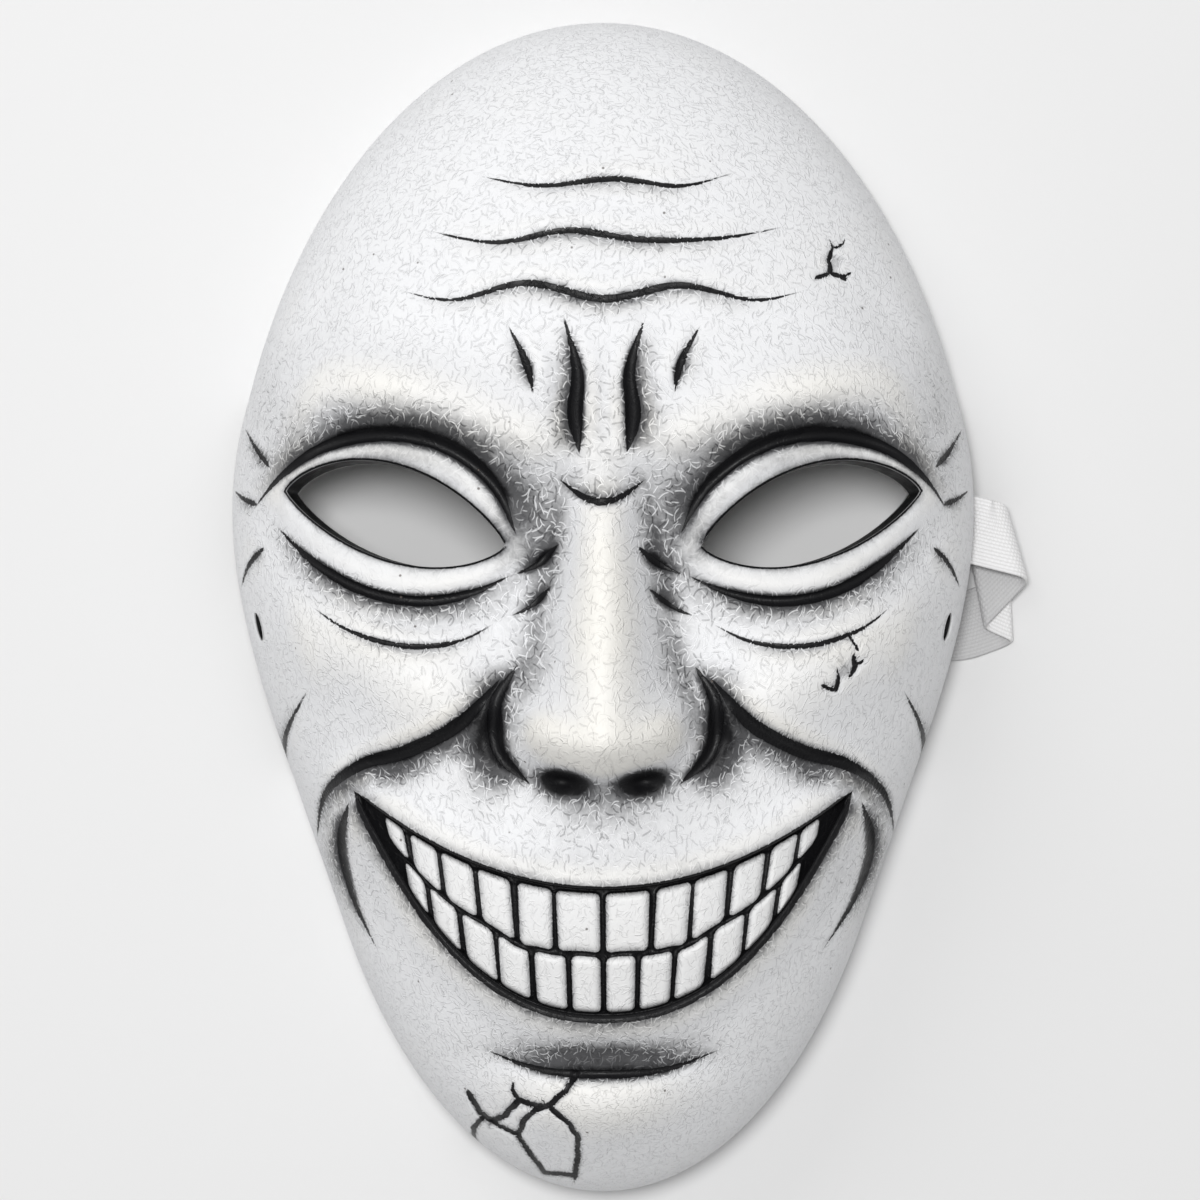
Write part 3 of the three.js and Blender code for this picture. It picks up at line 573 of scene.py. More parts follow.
# strap holes: a block of cells in the cheek band on each side, at its place up the face and over the rim
holeColumns, holeRows = maskShell["holeColumns"], maskShell["holeRows"]
sideHeights = outer[1][rows["cheeks"] // 2, middle + eyeTo:, 2]
sideColumn = int(np.argmin(np.abs(sideHeights - maskShell["holeZ"]))) + middle + eyeTo
holeColumn = int(round((sideColumn - holeColumns / 2) / step)) * step
holeRow = int(np.argmin(np.abs(outer[1][:, sideColumn, 1] - maskShell["holeY"])))
holeRow = int(round((holeRow - holeRows / 2) / step)) * step
holeColumnsAt = [holeColumn, len(columnU) - 1 - holeColumn - holeColumns]
for start in holeColumnsAt:
    place = (holeRow + holeRows / 2, start + holeColumns / 2, holeRows / 2, holeColumns / 2)
    outer[1] = ovalAt(outer[1], *place)
    innerFine[1] = ovalAt(innerFine[1], *place)
    inner[1] = ovalAt(inner[1], *[value / step for value in place])

# one numbering for all grids; equal points on shared edges take the first grid's number
grids = [*outer, mouth, *inner, mouthBack]
starts = np.concatenate([[0], np.cumsum([g[..., 0].size for g in grids])])
numbers = [start + np.arange(g[..., 0].size).reshape(g.shape[:2]) for g, start in zip(grids, starts)]
points = [g.reshape(-1, 3) for g in grids]
weld = np.arange(starts[-1])


def join(copies, firsts):
    weld[np.ravel(copies)] = np.ravel(firsts)


notMouth = ~inMouth | (fromMiddle == mouthTo)
notEye = ~inEye | (fromMiddle == eyeFrom) | (fromMiddle == eyeTo)
for low, mid, high, patch, thin in ((*numbers[:3], numbers[3], 1), (*numbers[4:7], numbers[7], step)):
    offMouth, offEye, onMouth = notMouth[::thin], notEye[::thin], inMouth[::thin]
    join(mid[0, offMouth], low[-1, offMouth])
    join(high[0, offEye], mid[-1, offEye])
    join(patch[0], low[-1, onMouth])
    join(patch[-1], mid[0, onMouth])
    join(patch[:, 0], np.repeat(low[-1, onMouth][0], patch.shape[0]))
    join(patch[:, -1], np.repeat(low[-1, onMouth][-1], patch.shape[0]))


# four-cornered faces of a grid of numbers, outward or inward, without a block of cells where one is left open
def gridFaces(number, outward, blocks=()):
    a, b, c, d = number[:-1, :-1], number[:-1, 1:], number[1:, 1:], number[1:, :-1]
    keep = np.ones(a.shape, bool)
    for row, column, tall, wide in blocks:
        keep[row:row + tall, column:column + wide] = False
    faces = np.stack([a, b, c, d] if outward else [a, d, c, b], -1)
    return faces[keep]


def blocksFor(thin):
    return [(holeRow // thin, c // thin, holeRows // thin, holeColumns // thin) for c in holeColumnsAt]


quads = [gridFaces(n, True, blocksFor(1) if k == 1 else ()) for k, n in enumerate(numbers[:4])]
quads += [gridFaces(n, False, blocksFor(step) if k == 1 else ()) for k, n in enumerate(numbers[4:])]
wide = []


# edge loops that run anticlockwise seen from outside: an eye hole, a strap hole and the rim
def eyeLoop(mid, high, side, thin):
    a, b = [(middle + side * at) // thin for at in ((eyeFrom, eyeTo) if side > 0 else (eyeTo, eyeFrom))]
    return np.concatenate([mid[-1, a:b], high[0, a + 1:b + 1][::-1]])


def blockLoop(mid, block):
    row, column, tall, across = block
    part = mid[row:row + tall + 1, column:column + across + 1]
    return np.concatenate([part[0, :-1], part[:-1, -1], part[-1, :0:-1], part[:0:-1, 0]])


def rimLoop(low, mid, high):
    right = np.concatenate([low[:-1, -1], mid[:-1, -1], high[:-1, -1]])
    left = np.concatenate([low[:-1, 0], mid[:-1, 0], high[:, 0]])[:0:-1]
    return np.concatenate([low[0, :-1], right, high[-1, :0:-1], left])


# wall of an opening: rings of fine points between the two faces, the last one joined to the coarse inner edge
def openingWall(fine, coarse, finePoints, innerPoints, shares, inward):
    rings = [fine]
    for share in shares:
        ring = sum(len(p) for p in points) + np.arange(len(fine))
        points.append(mix(finePoints, innerPoints, share))
        rings.append(ring)
    for top, bottom in zip(rings, rings[1:]):
        faces = np.stack([top, np.roll(top, -1), np.roll(bottom, -1), bottom], -1)
        quads.append(faces if inward else faces[:, ::-1])
    last = np.concatenate([rings[-1], rings[-1][:1]])
    lasts = [last[k:len(fine) + k:step] if k < step else last[step::step] for k in range(step + 1)]
    faces = np.stack([*lasts, np.roll(coarse, -1), coarse], -1)
    wide.append(faces if inward else faces[:, ::-1])


for side in (1, -1):
    fine = eyeLoop(numbers[1], numbers[2], side, 1)
    ends = [eyeLoop(two[1], two[2], side, 1) for two in (outer, innerFine)]
    openingWall(fine, eyeLoop(numbers[5], numbers[6], side, step), *ends, (0.1, 0.5, 0.9), True)
for block, coarseBlock in zip(blocksFor(1), blocksFor(step)):
    ends = [blockLoop(two[1], block) for two in (outer, innerFine)]
    edges = blockLoop(numbers[1], block), blockLoop(numbers[5], coarseBlock)
    openingWall(*edges, *ends, (0.15, 0.5, 0.9), True)
blackWalls = slice(starts[-1], sum(len(p) for p in points))
rimEnds = [rimLoop(*two) for two in (outer, innerFine)]
rimEnds[0] = rimEnds[0] - [0, 0, maskShell["rimRound"]]
openingWall(rimLoop(*numbers[:3]), rimLoop(*numbers[4:7]), *rimEnds, (0.2, 0.9), False)

points = np.concatenate(points)
weld = np.concatenate([weld, np.arange(len(weld), len(points))])
weld = weld[weld]
quads, wide = weld[np.concatenate(quads)], weld[np.concatenate(wide)]
startsPinched, endsPinched = quads[:, 0] == quads[:, 3], quads[:, 1] == quads[:, 2]
startsPinched |= quads[:, 0] == quads[:, 1]
endsPinched |= quads[:, 2] == quads[:, 3]
flat = startsPinched & endsPinched
threes = [quads[startsPinched & ~flat][:, [1, 2, 3]], quads[endsPinched & ~flat][:, [0, 1, 3]]]
threes = np.concatenate(threes)
quads = quads[~startsPinched & ~endsPinched]
corners = np.concatenate([quads.ravel(), threes.ravel(), wide.ravel()])
used, renumbered = np.unique(corners, return_inverse=True)
cuts = np.cumsum([quads.size, threes.size])
faceLists = [part.reshape(-1, n).tolist() for part, n in zip(np.split(renumbered, cuts), (4, 3, step + 3))]

# soft shade: how far a place lies under the blurred relief around it, read from an even grid over the face
print("face: paint fields")
pitch = 0.7
mapX, mapY = 98, 144  # half the grid's width and height
gridX, gridY = np.meshgrid(np.arange(-mapX, mapX, pitch), np.arange(-mapY, mapY, pitch))
reliefMap = faceRelief(gridX, gridY)[0]
rowWaves, columnWaves = np.fft.fftfreq(gridX.shape[0], pitch), np.fft.rfftfreq(gridX.shape[1], pitch)
waves = rowWaves[:, None] ** 2 + columnWaves[None] ** 2


def hollowMap(radius):
    soft = np.fft.irfft2(np.fft.rfft2(reliefMap) * np.exp(-2 * (np.pi * radius) ** 2 * waves), gridX.shape)
    return soft - reliefMap


hollows = hollowMap(2.2), hollowMap(6)
total = len(points)  # all points of the shell, before the welded ones are dropped
fields = {name: np.zeros(total) for name in ("shade", "wearAndHighlight", "clean", "wallBlack", "inside")}
fields["toothEdge"] = np.full(total, 9.0)
for k in range(len(inkSets)):
    fields[f"line{k}Side"], fields[f"line{k}Half"] = np.full(total, 9.0), np.zeros(total)
    for band in range(3):
        span = slice(starts[band], starts[band + 1])
        fields[f"line{k}Side"][span] = sides[band][k].ravel()
        fields[f"line{k}Half"][span] = halves[band][k].ravel()
for band, (x, y) in enumerate((*seen, mouthSeen)):
    span = slice(starts[band], starts[band + 1])
    near, far = [readGrid(hollow, (y + mapY) / pitch, (x + mapX) / pitch) for hollow in hollows]
    # painted shade: darker in the hollows under the blurred relief, added to the airbrushed grey and to the
    # wash and painted shade along the lines
    shade = 0.15 * np.maximum(0, near) + 0.13 * np.maximum(0, far - 0.3) + bells(airbrush, x, y)
    if band < 3:
        shade = shade + 0.85 * lineWashAndShade[band]
    fields["shade"][span] = np.clip(shade, 0, 1.6).ravel()
    lids = 1 - smoothStep(nearestOnRun(eyeRun, np.abs(x), y)[0], 3.5, 7)
    lips = 1 - smoothStep(nearestOnRun(lipRun, x, y)[0], 2, 5)
    fields["clean"][span] = np.maximum(lids, 0.6 * lips).ravel()
    # wear and painted highlight: convex places turn ivory, as if rubbed and lit
    fields["wearAndHighlight"][span] = np.clip(0.5 * np.maximum(0, -near) + 0.14 * np.maximum(0, -far), 0, 1).ravel()
patch = slice(starts[3], starts[4])
fields["toothEdge"][patch] = toothEdge.ravel()
for lipNumbers in (numbers[0][-1, inMouth], numbers[1][0, inMouth]):
    fields["toothEdge"][lipNumbers] = -1
fields["shade"][patch] = (0.75 * np.exp(-np.maximum(0, toothEdge) / 0.8)).ravel()
# tops of the teeth a little ivory: wear and painted highlight
fields["wearAndHighlight"][patch] = 0.25 * toothHeight.ravel()
fields["clean"][patch] = 0.4
fields["inside"][starts[4]:starts[8]] = 1
fields["clean"][starts[4]:] = 1.25
fields["inside"][starts[8]:] = 0.6
# walls of the eye and strap holes coloured black
fields["wallBlack"][blackWalls] = 1
# face laid flat: the distance out from the middle becomes the length of the way there over the dome
discX, discY = discPlace(points[:, 0], points[:, 1])
fields["flatX"], fields["flatY"] = discX * maskShell["flatWidth"], discY * maskShell["flatHeight"]
fields = {name: values[used] for name, values in fields.items()}


nodeTree = {}  # the node tree of the material begun last


# node helpers: a node with its settings and inputs, sums, a range, a mixed colour, a mesh field and noise
def addNode(kind, inputs, **settings):
    tree = nodeTree["begun"]
    node = tree.nodes.new(kind)
    for name, value in settings.items():
        setattr(node, name, value)
    for name, value in inputs.items():
        if isinstance(value, bpy.types.NodeSocket):
            tree.links.new(value, node.inputs[name])
        else:
            node.inputs[name].default_value = value
    return node


def calc(operation, *values):
    return addNode("ShaderNodeMath", dict(enumerate(values)), operation=operation).outputs[0]


def times(a, b):
    return calc("MULTIPLY", a, b)


def timesPlus(a, b, c):
    return calc("MULTIPLY_ADD", a, b, c)


def larger(a, b):
    return calc("MAXIMUM", a, b)


def ranged(value, low, high, toLow=0.0, toHigh=1.0):
    inputs = {"Value": value, "From Min": low, "From Max": high, "To Min": toLow, "To Max": toHigh}
    return addNode("ShaderNodeMapRange", inputs, interpolation_type="SMOOTHSTEP").outputs[0]


def mixed(amount, a, b):
    return addNode("ShaderNodeMix", {0: amount, 6: a, 7: b}, data_type="RGBA").outputs[2]


def field(name):
    return addNode("ShaderNodeAttribute", {}, attribute_name=name).outputs["Fac"]


def noise(place, scale, detail=2.0, rough=0.5, warp=0.0):
    inputs = {"Vector": place, "Scale": scale, "Detail": detail, "Roughness": rough, "Distortion": warp}
    return addNode("ShaderNodeTexNoise", inputs).outputs[0]


def newMaterial(name):
    material = bpy.data.materials.new(name)
    material.use_nodes = True
    material.node_tree.nodes.clear()
    nodeTree["begun"] = material.node_tree
    return material


# places in the object's own metres
def objectPlace():
    return addNode("ShaderNodeTexCoord", {}).outputs["Object"]


# surface shader of the material begun last
def surface(inputs):
    shader = addNode("ShaderNodeBsdfPrincipled", inputs)
    addNode("ShaderNodeOutputMaterial", {"Surface": shader.outputs[0]})


resinFinish = {
    "coolWhite": (0.85, 0.855, 0.87, 1), "ivory": (0.91, 0.89, 0.84, 1), "washAndShadeGrey": (0.045, 0.045, 0.048, 1),
    "blackInk": (0.006, 0.006, 0.007, 1), "speck": (0.12, 0.10, 0.09, 1), "bareResin": (0.72, 0.72, 0.71, 1),
    "strokeSize": 1.7, "strokeWidth": 0.2,
    "paleStrokes": ((1, 7.3), (1.3, 21.7), (1.7, 87.4)),  # share of the size, and shift, of each layer
    "darkStrokes": ((1.1, 43.1), (1.5, 65.9)),
    "fleckScale": 1100.0, "brushScale": 330.0, "hairScale": 1300.0,
    "cloudScale": 45.0, "dotScale": 300.0, "dotShare": 0.06, "grainDepth": 0.0002,
}


# one short bent stroke in each cell of an uneven grid over the face laid flat: the cell's own numbers give
# its turn, bend and strength
def strokes(flat, size, shift):
    inputs = {0: flat, 1: (1 / size, 1 / size, 0), 2: (shift, -shift, 0)}
    place = addNode("ShaderNodeVectorMath", inputs, operation="MULTIPLY_ADD").outputs[0]
    cell = addNode("ShaderNodeTexVoronoi", {"Vector": place, "Scale": 1.0}, voronoi_dimensions="2D")
    own = addNode("ShaderNodeSeparateColor", {0: cell.outputs["Color"]}).outputs
    away = addNode("ShaderNodeVectorMath", {0: place, 1: cell.outputs["Position"]}, operation="SUBTRACT")
    inputs = {"Vector": away.outputs[0], "Angle": times(own[0], 2 * math.pi)}
    turned = addNode("ShaderNodeVectorRotate", inputs, rotation_type="Z_AXIS")
    along, across = addNode("ShaderNodeSeparateXYZ", {0: turned.outputs[0]}).outputs[:2]
    bend = times(times(along, along), timesPlus(own[1], 2.0, -1.0))
    across = calc("ABSOLUTE", calc("ADD", across, bend))
    thin = resinFinish["strokeWidth"] / size
    ends = ranged(calc("ABSOLUTE", along), 0.34, 0.54, 1.0, 0.0)
    mark = times(ranged(across, 0.3 * thin, thin, 1.0, 0.0), ends)
    return times(mark, ranged(own[2], 0.15, 0.7, 0.1, 1.0))


# several layers of strokes, the strongest at each place, as far as the surface keeps them
def strokeLayers(flat, layers, kept):
    marks = [strokes(flat, share * resinFinish["strokeSize"], shift) for share, shift in layers]
    strongest = marks[0]
    for mark in marks[1:]:
        strongest = larger(strongest, mark)
    return times(strongest, kept)


# white resin with black wash and painted shade: lines from the signed distances, soft wash and painted shade
# broken by strokes and flecks
def resinMaterial():
    material = newMaterial("white_resin_wash_and_painted_shade")
    place = objectPlace()
    fleck = noise(place, resinFinish["fleckScale"], 2.0, 0.6)
    brush = noise(place, resinFinish["brushScale"], 3.0, 0.55, 0.4)
    hair = noise(place, resinFinish["hairScale"], 2.0, 0.6, 0.6)
    cloud = noise(place, resinFinish["cloudScale"], 4.0, 0.6)
    flat = addNode("ShaderNodeCombineXYZ", {"X": field("flatX"), "Y": field("flatY")}).outputs[0]
    shade = field("shade")
    kept = times(timesPlus(field("clean"), -0.8, 1.0), ranged(shade, 0.8, 1.3, 1.0, 0.25))
    pale = strokeLayers(flat, resinFinish["paleStrokes"], kept)
    dark = strokeLayers(flat, resinFinish["darkStrokes"], kept)

    wobble = timesPlus(brush, 0.5, -0.25)
    ragged = timesPlus(hair, 0.9, -0.45)
    torn = timesPlus(pale, -0.18, timesPlus(ragged, 0.26, wobble))
    ink = field("wallBlack")
    for k in range(len(inkSets)):
        half = field(f"line{k}Half")
        away = calc("ABSOLUTE", timesPlus(wobble, 0.4, field(f"line{k}Side")))
        over = calc("ADD", calc("SUBTRACT", half, away), torn)
        line = times(ranged(over, -0.08, 0.08), ranged(half, 0.04, 0.2))
        ink = larger(ink, line)
    toothEdge = timesPlus(ragged, 0.35, field("toothEdge"))
    ink = larger(ink, ranged(toothEdge, 0.1, 0.24, 1.0, 0.0))

    mottle = timesPlus(fleck, -0.3, timesPlus(brush, -0.5, 0.38))
    mottle = timesPlus(dark, 0.2, timesPlus(pale, -0.3, mottle))
    reach = ranged(shade, 0.03, 0.35)
    worked = timesPlus(mottle, times(reach, 0.9), shade)
    # grey of the wash and the painted shade, lifted where pale strokes lie over it
    washAndShade = times(ranged(worked, 0.06, 1.12), timesPlus(pale, -0.45, 1.0))
    deep = larger(ink, ranged(worked, 1.05, 1.5))

    tone = ranged(cloud, 0.3, 0.7, -0.05, 0.05)
    # ivory on convex places and tooth tops: wear and painted highlight
    ivory = calc("ADD", times(field("wearAndHighlight"), 0.9), tone)
    white = mixed(ivory, resinFinish["coolWhite"], resinFinish["ivory"])
    # fine flecks of grain and the dark strokes, these partly painted shade beside the fine embossed strokes
    grainAndStrokeShade = timesPlus(fleck, 0.05, times(dark, 0.12))
    grainAndStrokeShade = calc("SUBTRACT", grainAndStrokeShade, times(pale, 0.05))
    white = mixed(larger(grainAndStrokeShade, 0.0), white, resinFinish["washAndShadeGrey"])
    painted = mixed(calc("MINIMUM", washAndShade, 0.95), white, resinFinish["washAndShadeGrey"])
    painted = mixed(deep, painted, resinFinish["blackInk"])
    dots = addNode("ShaderNodeTexVoronoi", {"Vector": place, "Scale": resinFinish["dotScale"]})
    pick = addNode("ShaderNodeSeparateColor", {0: dots.outputs["Color"]}).outputs[0]
    dot = ranged(dots.outputs["Distance"], 0.05, 0.12, 0.8, 0.0)
    dot = times(dot, calc("GREATER_THAN", pick, 1 - resinFinish["dotShare"]))
    painted = mixed(dot, painted, resinFinish["speck"])
    bare = times(field("inside"), calc("SUBTRACT", 1.0, field("wallBlack")))
    colour = mixed(bare, painted, resinFinish["bareResin"])

    rough = ranged(brush, 0.3, 0.7, 0.44, 0.58)
    rough = timesPlus(ink, -0.06, rough)
    height = timesPlus(pale, 0.8, times(fleck, 0.5))
    height = timesPlus(dark, -0.7, timesPlus(ink, -1.0, height))
    height = timesPlus(dot, -1.0, height)
    inputs = {"Strength": 0.7, "Distance": resinFinish["grainDepth"], "Height": height}
    bump = addNode("ShaderNodeBump", inputs)
    surface({"Base Color": colour, "Roughness": rough, "Normal": bump.outputs[0], "IOR": 1.33})
    return material


shellPiece = meshPiece("mask_shell_painted", points[used], sum(faceLists, []), fields, resinMaterial())
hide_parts("mask_shell")
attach(shellPiece, "root")

# strap: a flat ribbed band carried along the same way as the solid, in millimetres
elasticStrap = {
    "width": 15, "thickness": 1.2, "floorGap": 0.3, "wallGap": 0.75,
    "anchorY": -5, "anchorLow": 5, "anchorMiddle": 12, "anchorHigh": 20,
    "outHeading": -14, "foldStart": (89.6, 15.2, 9.2), "flatBefore": 4.8,
    "folds": ((-134, 2.3, 8.1), (-24, 1.05, 5.6), (-150, 0.8, 4)),  # heading after it, radius, straight run
    "ribs": 19, "ribDepth": 0.08, "pointsPerRib": 4, "step": 0.4,
    "stitch": 0.75, "stitchDepth": 0.00015, "fuzzScale": 1600.0, "soilScale": 60.0,
    "weave": (0.9, 0.895, 0.9, 1), "weaveHollowShade": (0.79, 0.785, 0.78, 1),
    "innerFaceShade": (0.4, 0.4, 0.405, 1), "soil": (0.62, 0.6, 0.56, 1),
}


# shell's inner side wall at a height up the face and over the rim
def sideWall(y, z):
    depth, half = maskShell["domeDepth"] - maskShell["wall"], maskShell["height"] / 2 - maskShell["wall"]
    power = maskShell["fullness"] - maskShell["fullnessChange"] * y / half
    out = (1 - (z / depth) ** power) ** (1 / power)
    return np.sqrt(out**2 - (y / half) ** 2) * (halfWidthAt(y / half) - maskShell["wall"])


def ahead(degrees):
    return np.array([math.cos(math.radians(degrees)), math.sin(math.radians(degrees)), 0])


# sections of a stretch through some points: its middle, half its width towards the left edge, its upper side.
# It lies flat unless its left edge is given, and no edge of it sinks into the floor.
def strapRun(stops, count, leftEdge=None):
    s = elasticStrap
    middle = curveThrough(stops, count)
    along = np.gradient(middle, axis=0)
    along /= np.linalg.norm(along, axis=1, keepdims=True)
    edge = np.cross([0, 0, 1], along) if leftEdge is None else np.repeat(leftEdge[None], count + 1, axis=0)
    edge = edge - along * (edge * along).sum(axis=1, keepdims=True)
    edge *= s["width"] / 2 / np.linalg.norm(edge, axis=1, keepdims=True)
    face = np.cross(along, edge) / (s["width"] / 2)
    lowest = s["floorGap"] + np.abs(edge[:, 2]) + np.abs(face[:, 2]) * s["thickness"] / 2
    middle[:, 2] = np.maximum(middle[:, 2], lowest)
    return middle, edge, face


# flat band folded under along a slanting line: half a turn round a thin bar on that line. Lines along the bar
# stay straight, so each section is one of them, from edge to edge.
def strapFold(point, travel, across, facing, leaving, radius, count):
    half, up = elasticStrap["width"] / 2, np.array([0, 0, 1])
    bar = travel + ahead(leaving)
    bar /= np.linalg.norm(bar)
    around = travel - (travel @ bar) * bar
    around /= np.linalg.norm(around)
    turn = np.linspace(0, np.pi, count + 1)[:, None]
    ends = []
    for side in (half, -half):
        run = (radius * turn - side * (across @ around)) / (travel @ around)
        ends.append(run * (travel @ bar) + side * (across @ bar))
    bent = around * np.sin(turn) + up * (np.cos(turn) - 1)
    middle = point + bar * (ends[0] + ends[1]) / 2 + radius * bent
    edge = bar * (ends[0] - ends[1]) / 2
    face = facing * (up * np.cos(turn) + around * np.sin(turn))
    return (middle, edge, face), [way - 2 * (way @ around) * around for way in (travel, across)]


# the way: down the left wall, over the floor of the hollow, out under the right arch, folded under three
# times in a zigzag, and back under the arch and up the right wall
def strapSections():
    s = elasticStrap
    y, high, mid, low = s["anchorY"], s["anchorHigh"], s["anchorMiddle"], s["anchorLow"]
    floor = s["floorGap"] + s["thickness"] / 2

    def wall(z, side):
        return side * (sideWall(y, z) - s["wallGap"] - s["thickness"] / 2)

    lean = sideWall(y + s["width"] / 2, mid) - sideWall(y - s["width"] / 2, mid)
    wallEdge = [np.array([side * lean, s["width"], 0]) / math.hypot(lean, s["width"]) for side in (-1, 1)]
    start, travel, across = np.array(s["foldStart"]), ahead(s["outHeading"]), ahead(s["outHeading"] + 90)
    parts = [strapRun([
        (wall(high, -1), y, high), (wall(mid, -1), y, mid), (wall(low, -1) + 0.4, y, low),
        (-70.5, y, 1.8), (-66, y, floor),
    ], 40, wallEdge[0])]
    parts.append(strapRun([
        (-66, y, floor), (-30, -8, floor), (8, -9.5, floor), (34, -8.2, floor),
        (50, -1.6, floor), (60, 4.9, floor), (68, 10.4, 1.2), (74, 14.2, 2.3), (78, 16.3, 4.3),
        (80.4, 17.2, 6.5), (82.3, 17.1, 8.1), (83.8, 16.7, 8.9), start - s["flatBefore"] * travel,
    ], 200))
    point, facing = start, 1
    for leaving, radius, run in s["folds"]:
        fold, (travel, across) = strapFold(point, travel, across, facing, leaving, radius, 16)
        parts.append(fold)
        point, facing = fold[0][-1] + run * travel, -facing
    parts.append(strapRun([
        point, (82.5, -4.2, floor), (79.5, -4.9, floor), (77.1, y, 1.9),
        (wall(low, 1) - 1, y, low), (wall(mid, 1), y, mid), (wall(high, 1), y, high),
    ], 60, wallEdge[1]))
    return parts


# all sections in even small steps: straight lines of them between the parts, then a short running mean that
# rounds off the joints
def strapWay():
    parts = strapSections()
    middle, edge, face = [np.concatenate([part[k] for part in parts]) for k in range(3)]
    length = np.concatenate([[0], np.cumsum(np.linalg.norm(np.diff(middle, axis=0), axis=1) + 1e-5)])
    at = np.linspace(0, length[-1], int(length[-1] / elasticStrap["step"]))
    weights = np.hanning(9)[1:-1] / np.hanning(9)[1:-1].sum()

    def even(values):
        rows = np.stack([np.interp(at, length, values[:, k]) for k in range(3)], axis=1)
        padded = np.concatenate([np.repeat(rows[:1], 3, axis=0), rows, np.repeat(rows[-1:], 3, axis=0)])
        return sum(w * padded[k:k + len(rows)] for k, w in enumerate(weights))

    middle, edge, face = even(middle), even(edge), even(face)
    return middle, edge, face / np.linalg.norm(face, axis=1, keepdims=True)


# ribbed profile carried along the way: ribs are a cosine across both flat faces, the edges are half rounds
def strapMesh():
    s = elasticStrap
    line, edge, face = strapWay()
    count = s["ribs"] * s["pointsPerRib"]
    across = np.linspace(-1, 1, count + 1)
    rib = np.cos(across * np.pi * s["ribs"]) * -0.5 + 0.5
    edgeRound = np.sqrt(np.clip(1 - np.clip((np.abs(across) - 0.94) / 0.06, 0, 1) ** 2, 0.02, 1))
    half = (s["thickness"] / 2 - s["ribDepth"] * (1 - rib)) * edgeRound
    acrossAll, heightAll = np.concatenate([across, across[::-1]]), np.concatenate([half, -half[::-1]])
    sideways, upward = acrossAll[None, :, None], heightAll[None, :, None]
    rings = line[:, None] - edge[:, None] * sideways + face[:, None] * upward
    n, m = rings.shape[:2]
    number = np.arange(n * m).reshape(n, m)
    turned = np.roll(number, -1, axis=1)
    faces = np.stack([number[:-1], turned[:-1], turned[1:], number[1:]], -1).reshape(-1, 4)
    caps = [number[0, ::-1].tolist(), number[-1].tolist()]
    strapFields = {"across": np.tile(acrossAll, n), "along": np.repeat(lengthAlong(line), m)}
    strapFields["innerSide"] = np.tile(np.repeat([0.0, 1.0], len(across)), n)
    return rings.reshape(-1, 3), faces.tolist() + caps, strapFields, line


# woven elastic: rib rows across, short stitches along each rib, set off by half a stitch from rib to rib
def elasticMaterial():
    material = newMaterial("white_ribbed_elastic")
    place = objectPlace()
    across, along = field("across"), field("along")
    ribs = elasticStrap["ribs"]
    turns = times(across, math.pi * ribs)
    rib = timesPlus(calc("COSINE", turns), 0.5, 0.5)
    row = calc("FLOOR", timesPlus(across, ribs / 2, 0.5))
    shifted = timesPlus(row, math.pi, times(along, 2 * math.pi / elasticStrap["stitch"]))
    stitch = timesPlus(calc("SINE", shifted), 0.5, 0.5)
    fuzz = noise(place, elasticStrap["fuzzScale"], 3.0, 0.6)
    soil = noise(place, elasticStrap["soilScale"], 3.0, 0.6)
    # painted shade: the weave is darker in the hollows between the ribs and between the stitches
    light = timesPlus(rib, 0.75, timesPlus(stitch, 0.22, times(fuzz, 0.12)))
    colour = mixed(ranged(light, 0.05, 0.8), elasticStrap["weaveHollowShade"], elasticStrap["weave"])
    colour = mixed(ranged(soil, 0.45, 0.8, 0.0, 0.1), colour, elasticStrap["soil"])
    # painted shade: the inner face of the band is greyer, for the shade it lies in under its folds
    colour = mixed(times(field("innerSide"), 0.6), colour, elasticStrap["innerFaceShade"])
    height = timesPlus(stitch, 0.8, times(fuzz, 0.5))
    inputs = {"Strength": 0.7, "Distance": elasticStrap["stitchDepth"], "Height": height}
    bump = addNode("ShaderNodeBump", inputs)
    rough = ranged(fuzz, 0.3, 0.7, 0.72, 0.9)
    surface({
        "Base Color": colour, "Roughness": rough, "Normal": bump.outputs[0],
        "Sheen Weight": 0.15, "Sheen Roughness": 0.4,
    })
    return material


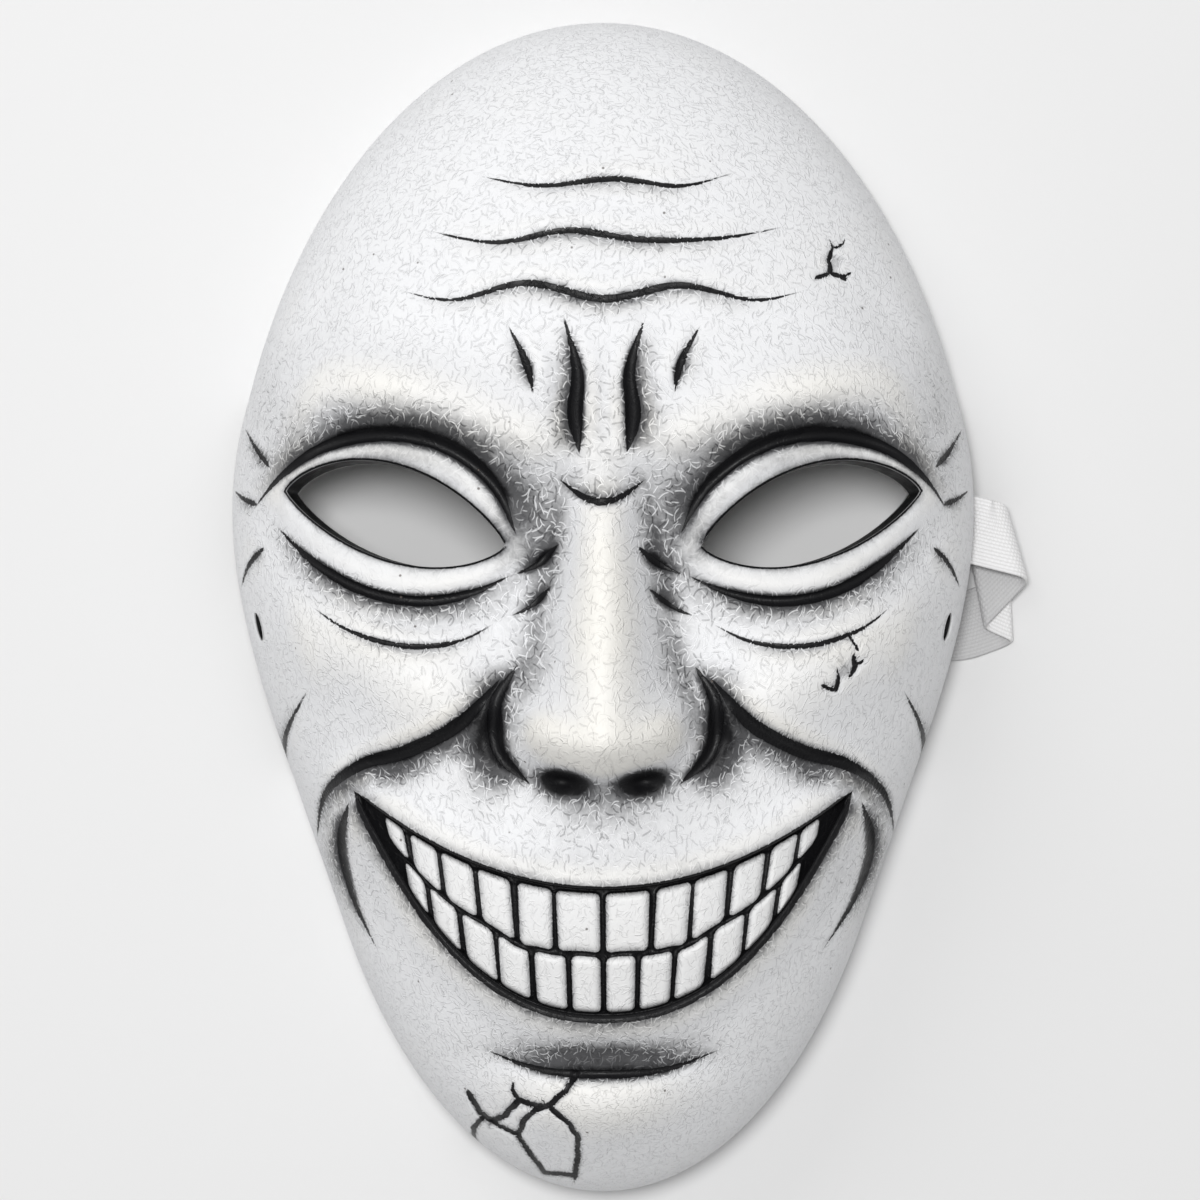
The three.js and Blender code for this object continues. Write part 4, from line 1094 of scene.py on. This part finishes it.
strapPoints, strapFaces, strapFields, strapLine = strapMesh()
strapPiece = meshPiece("elastic_strap_woven", strapPoints, strapFaces, strapFields, elasticMaterial())
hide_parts("elastic_strap")
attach(strapPiece, "root")

# floor, light and camera
studio = {
    "floor": (0.8, 0.8, 0.8, 1), "floorReach": 3000,
    "sensor": 36, "distance": 1.1, "frameHeight": 0.2706, "centre": (-0.0007, 0.0013),
    "key": ((-0.1, 0.18, 1.49), 0.4, 13.3), "fill": ((-0.6, 0.8, 0.9), 0.8, 3.5), "sky": 0.35,
}


def floorPiece():
    material = newMaterial("studio_floor")
    place = objectPlace()
    tone = ranged(noise(place, 3.0, 2.0), 0.3, 0.7, 0.82, 0.88)
    surface({"Base Color": studio["floor"], "Roughness": tone})
    corners = np.array([(-1, -1, 0), (1, -1, 0), (1, 1, 0), (-1, 1, 0)]) * float(studio["floorReach"])
    floor = meshPiece("studio_floor", corners, [[0, 1, 2, 3]], {}, material)


def areaLight(name, spot, size, power):
    data = bpy.data.lights.new(name, "AREA")
    data.shape, data.size, data.energy = "DISK", size, power
    light = bpy.data.objects.new(name, data)
    light.location = spot
    aim = -np.array(spot) / np.linalg.norm(spot)
    light.rotation_euler = (math.acos(-aim[2]), 0, math.atan2(aim[1], aim[0]) - math.pi / 2)
    bpy.context.scene.collection.objects.link(light)


floorPiece()
areaLight("key_light", *studio["key"])
areaLight("fill_light", *studio["fill"])
world = bpy.data.worlds.new("studio_world")
world.use_nodes = True
world.node_tree.nodes["Background"].inputs["Color"].default_value = (1, 1, 1, 1)
world.node_tree.nodes["Background"].inputs["Strength"].default_value = studio["sky"]
bpy.context.scene.world = world
bpy.context.scene.view_settings.view_transform = "Standard"

cameraData = bpy.data.cameras.new("photo_camera")
cameraData.sensor_width = studio["sensor"]
cameraData.lens = studio["sensor"] * studio["distance"] / studio["frameHeight"]
cameraData.clip_start, cameraData.clip_end = 0.05, 20
camera = bpy.data.objects.new("photo_camera", cameraData)
camera.location = (*studio["centre"], studio["distance"])
bpy.context.scene.collection.objects.link(camera)
bpy.context.scene.camera = camera
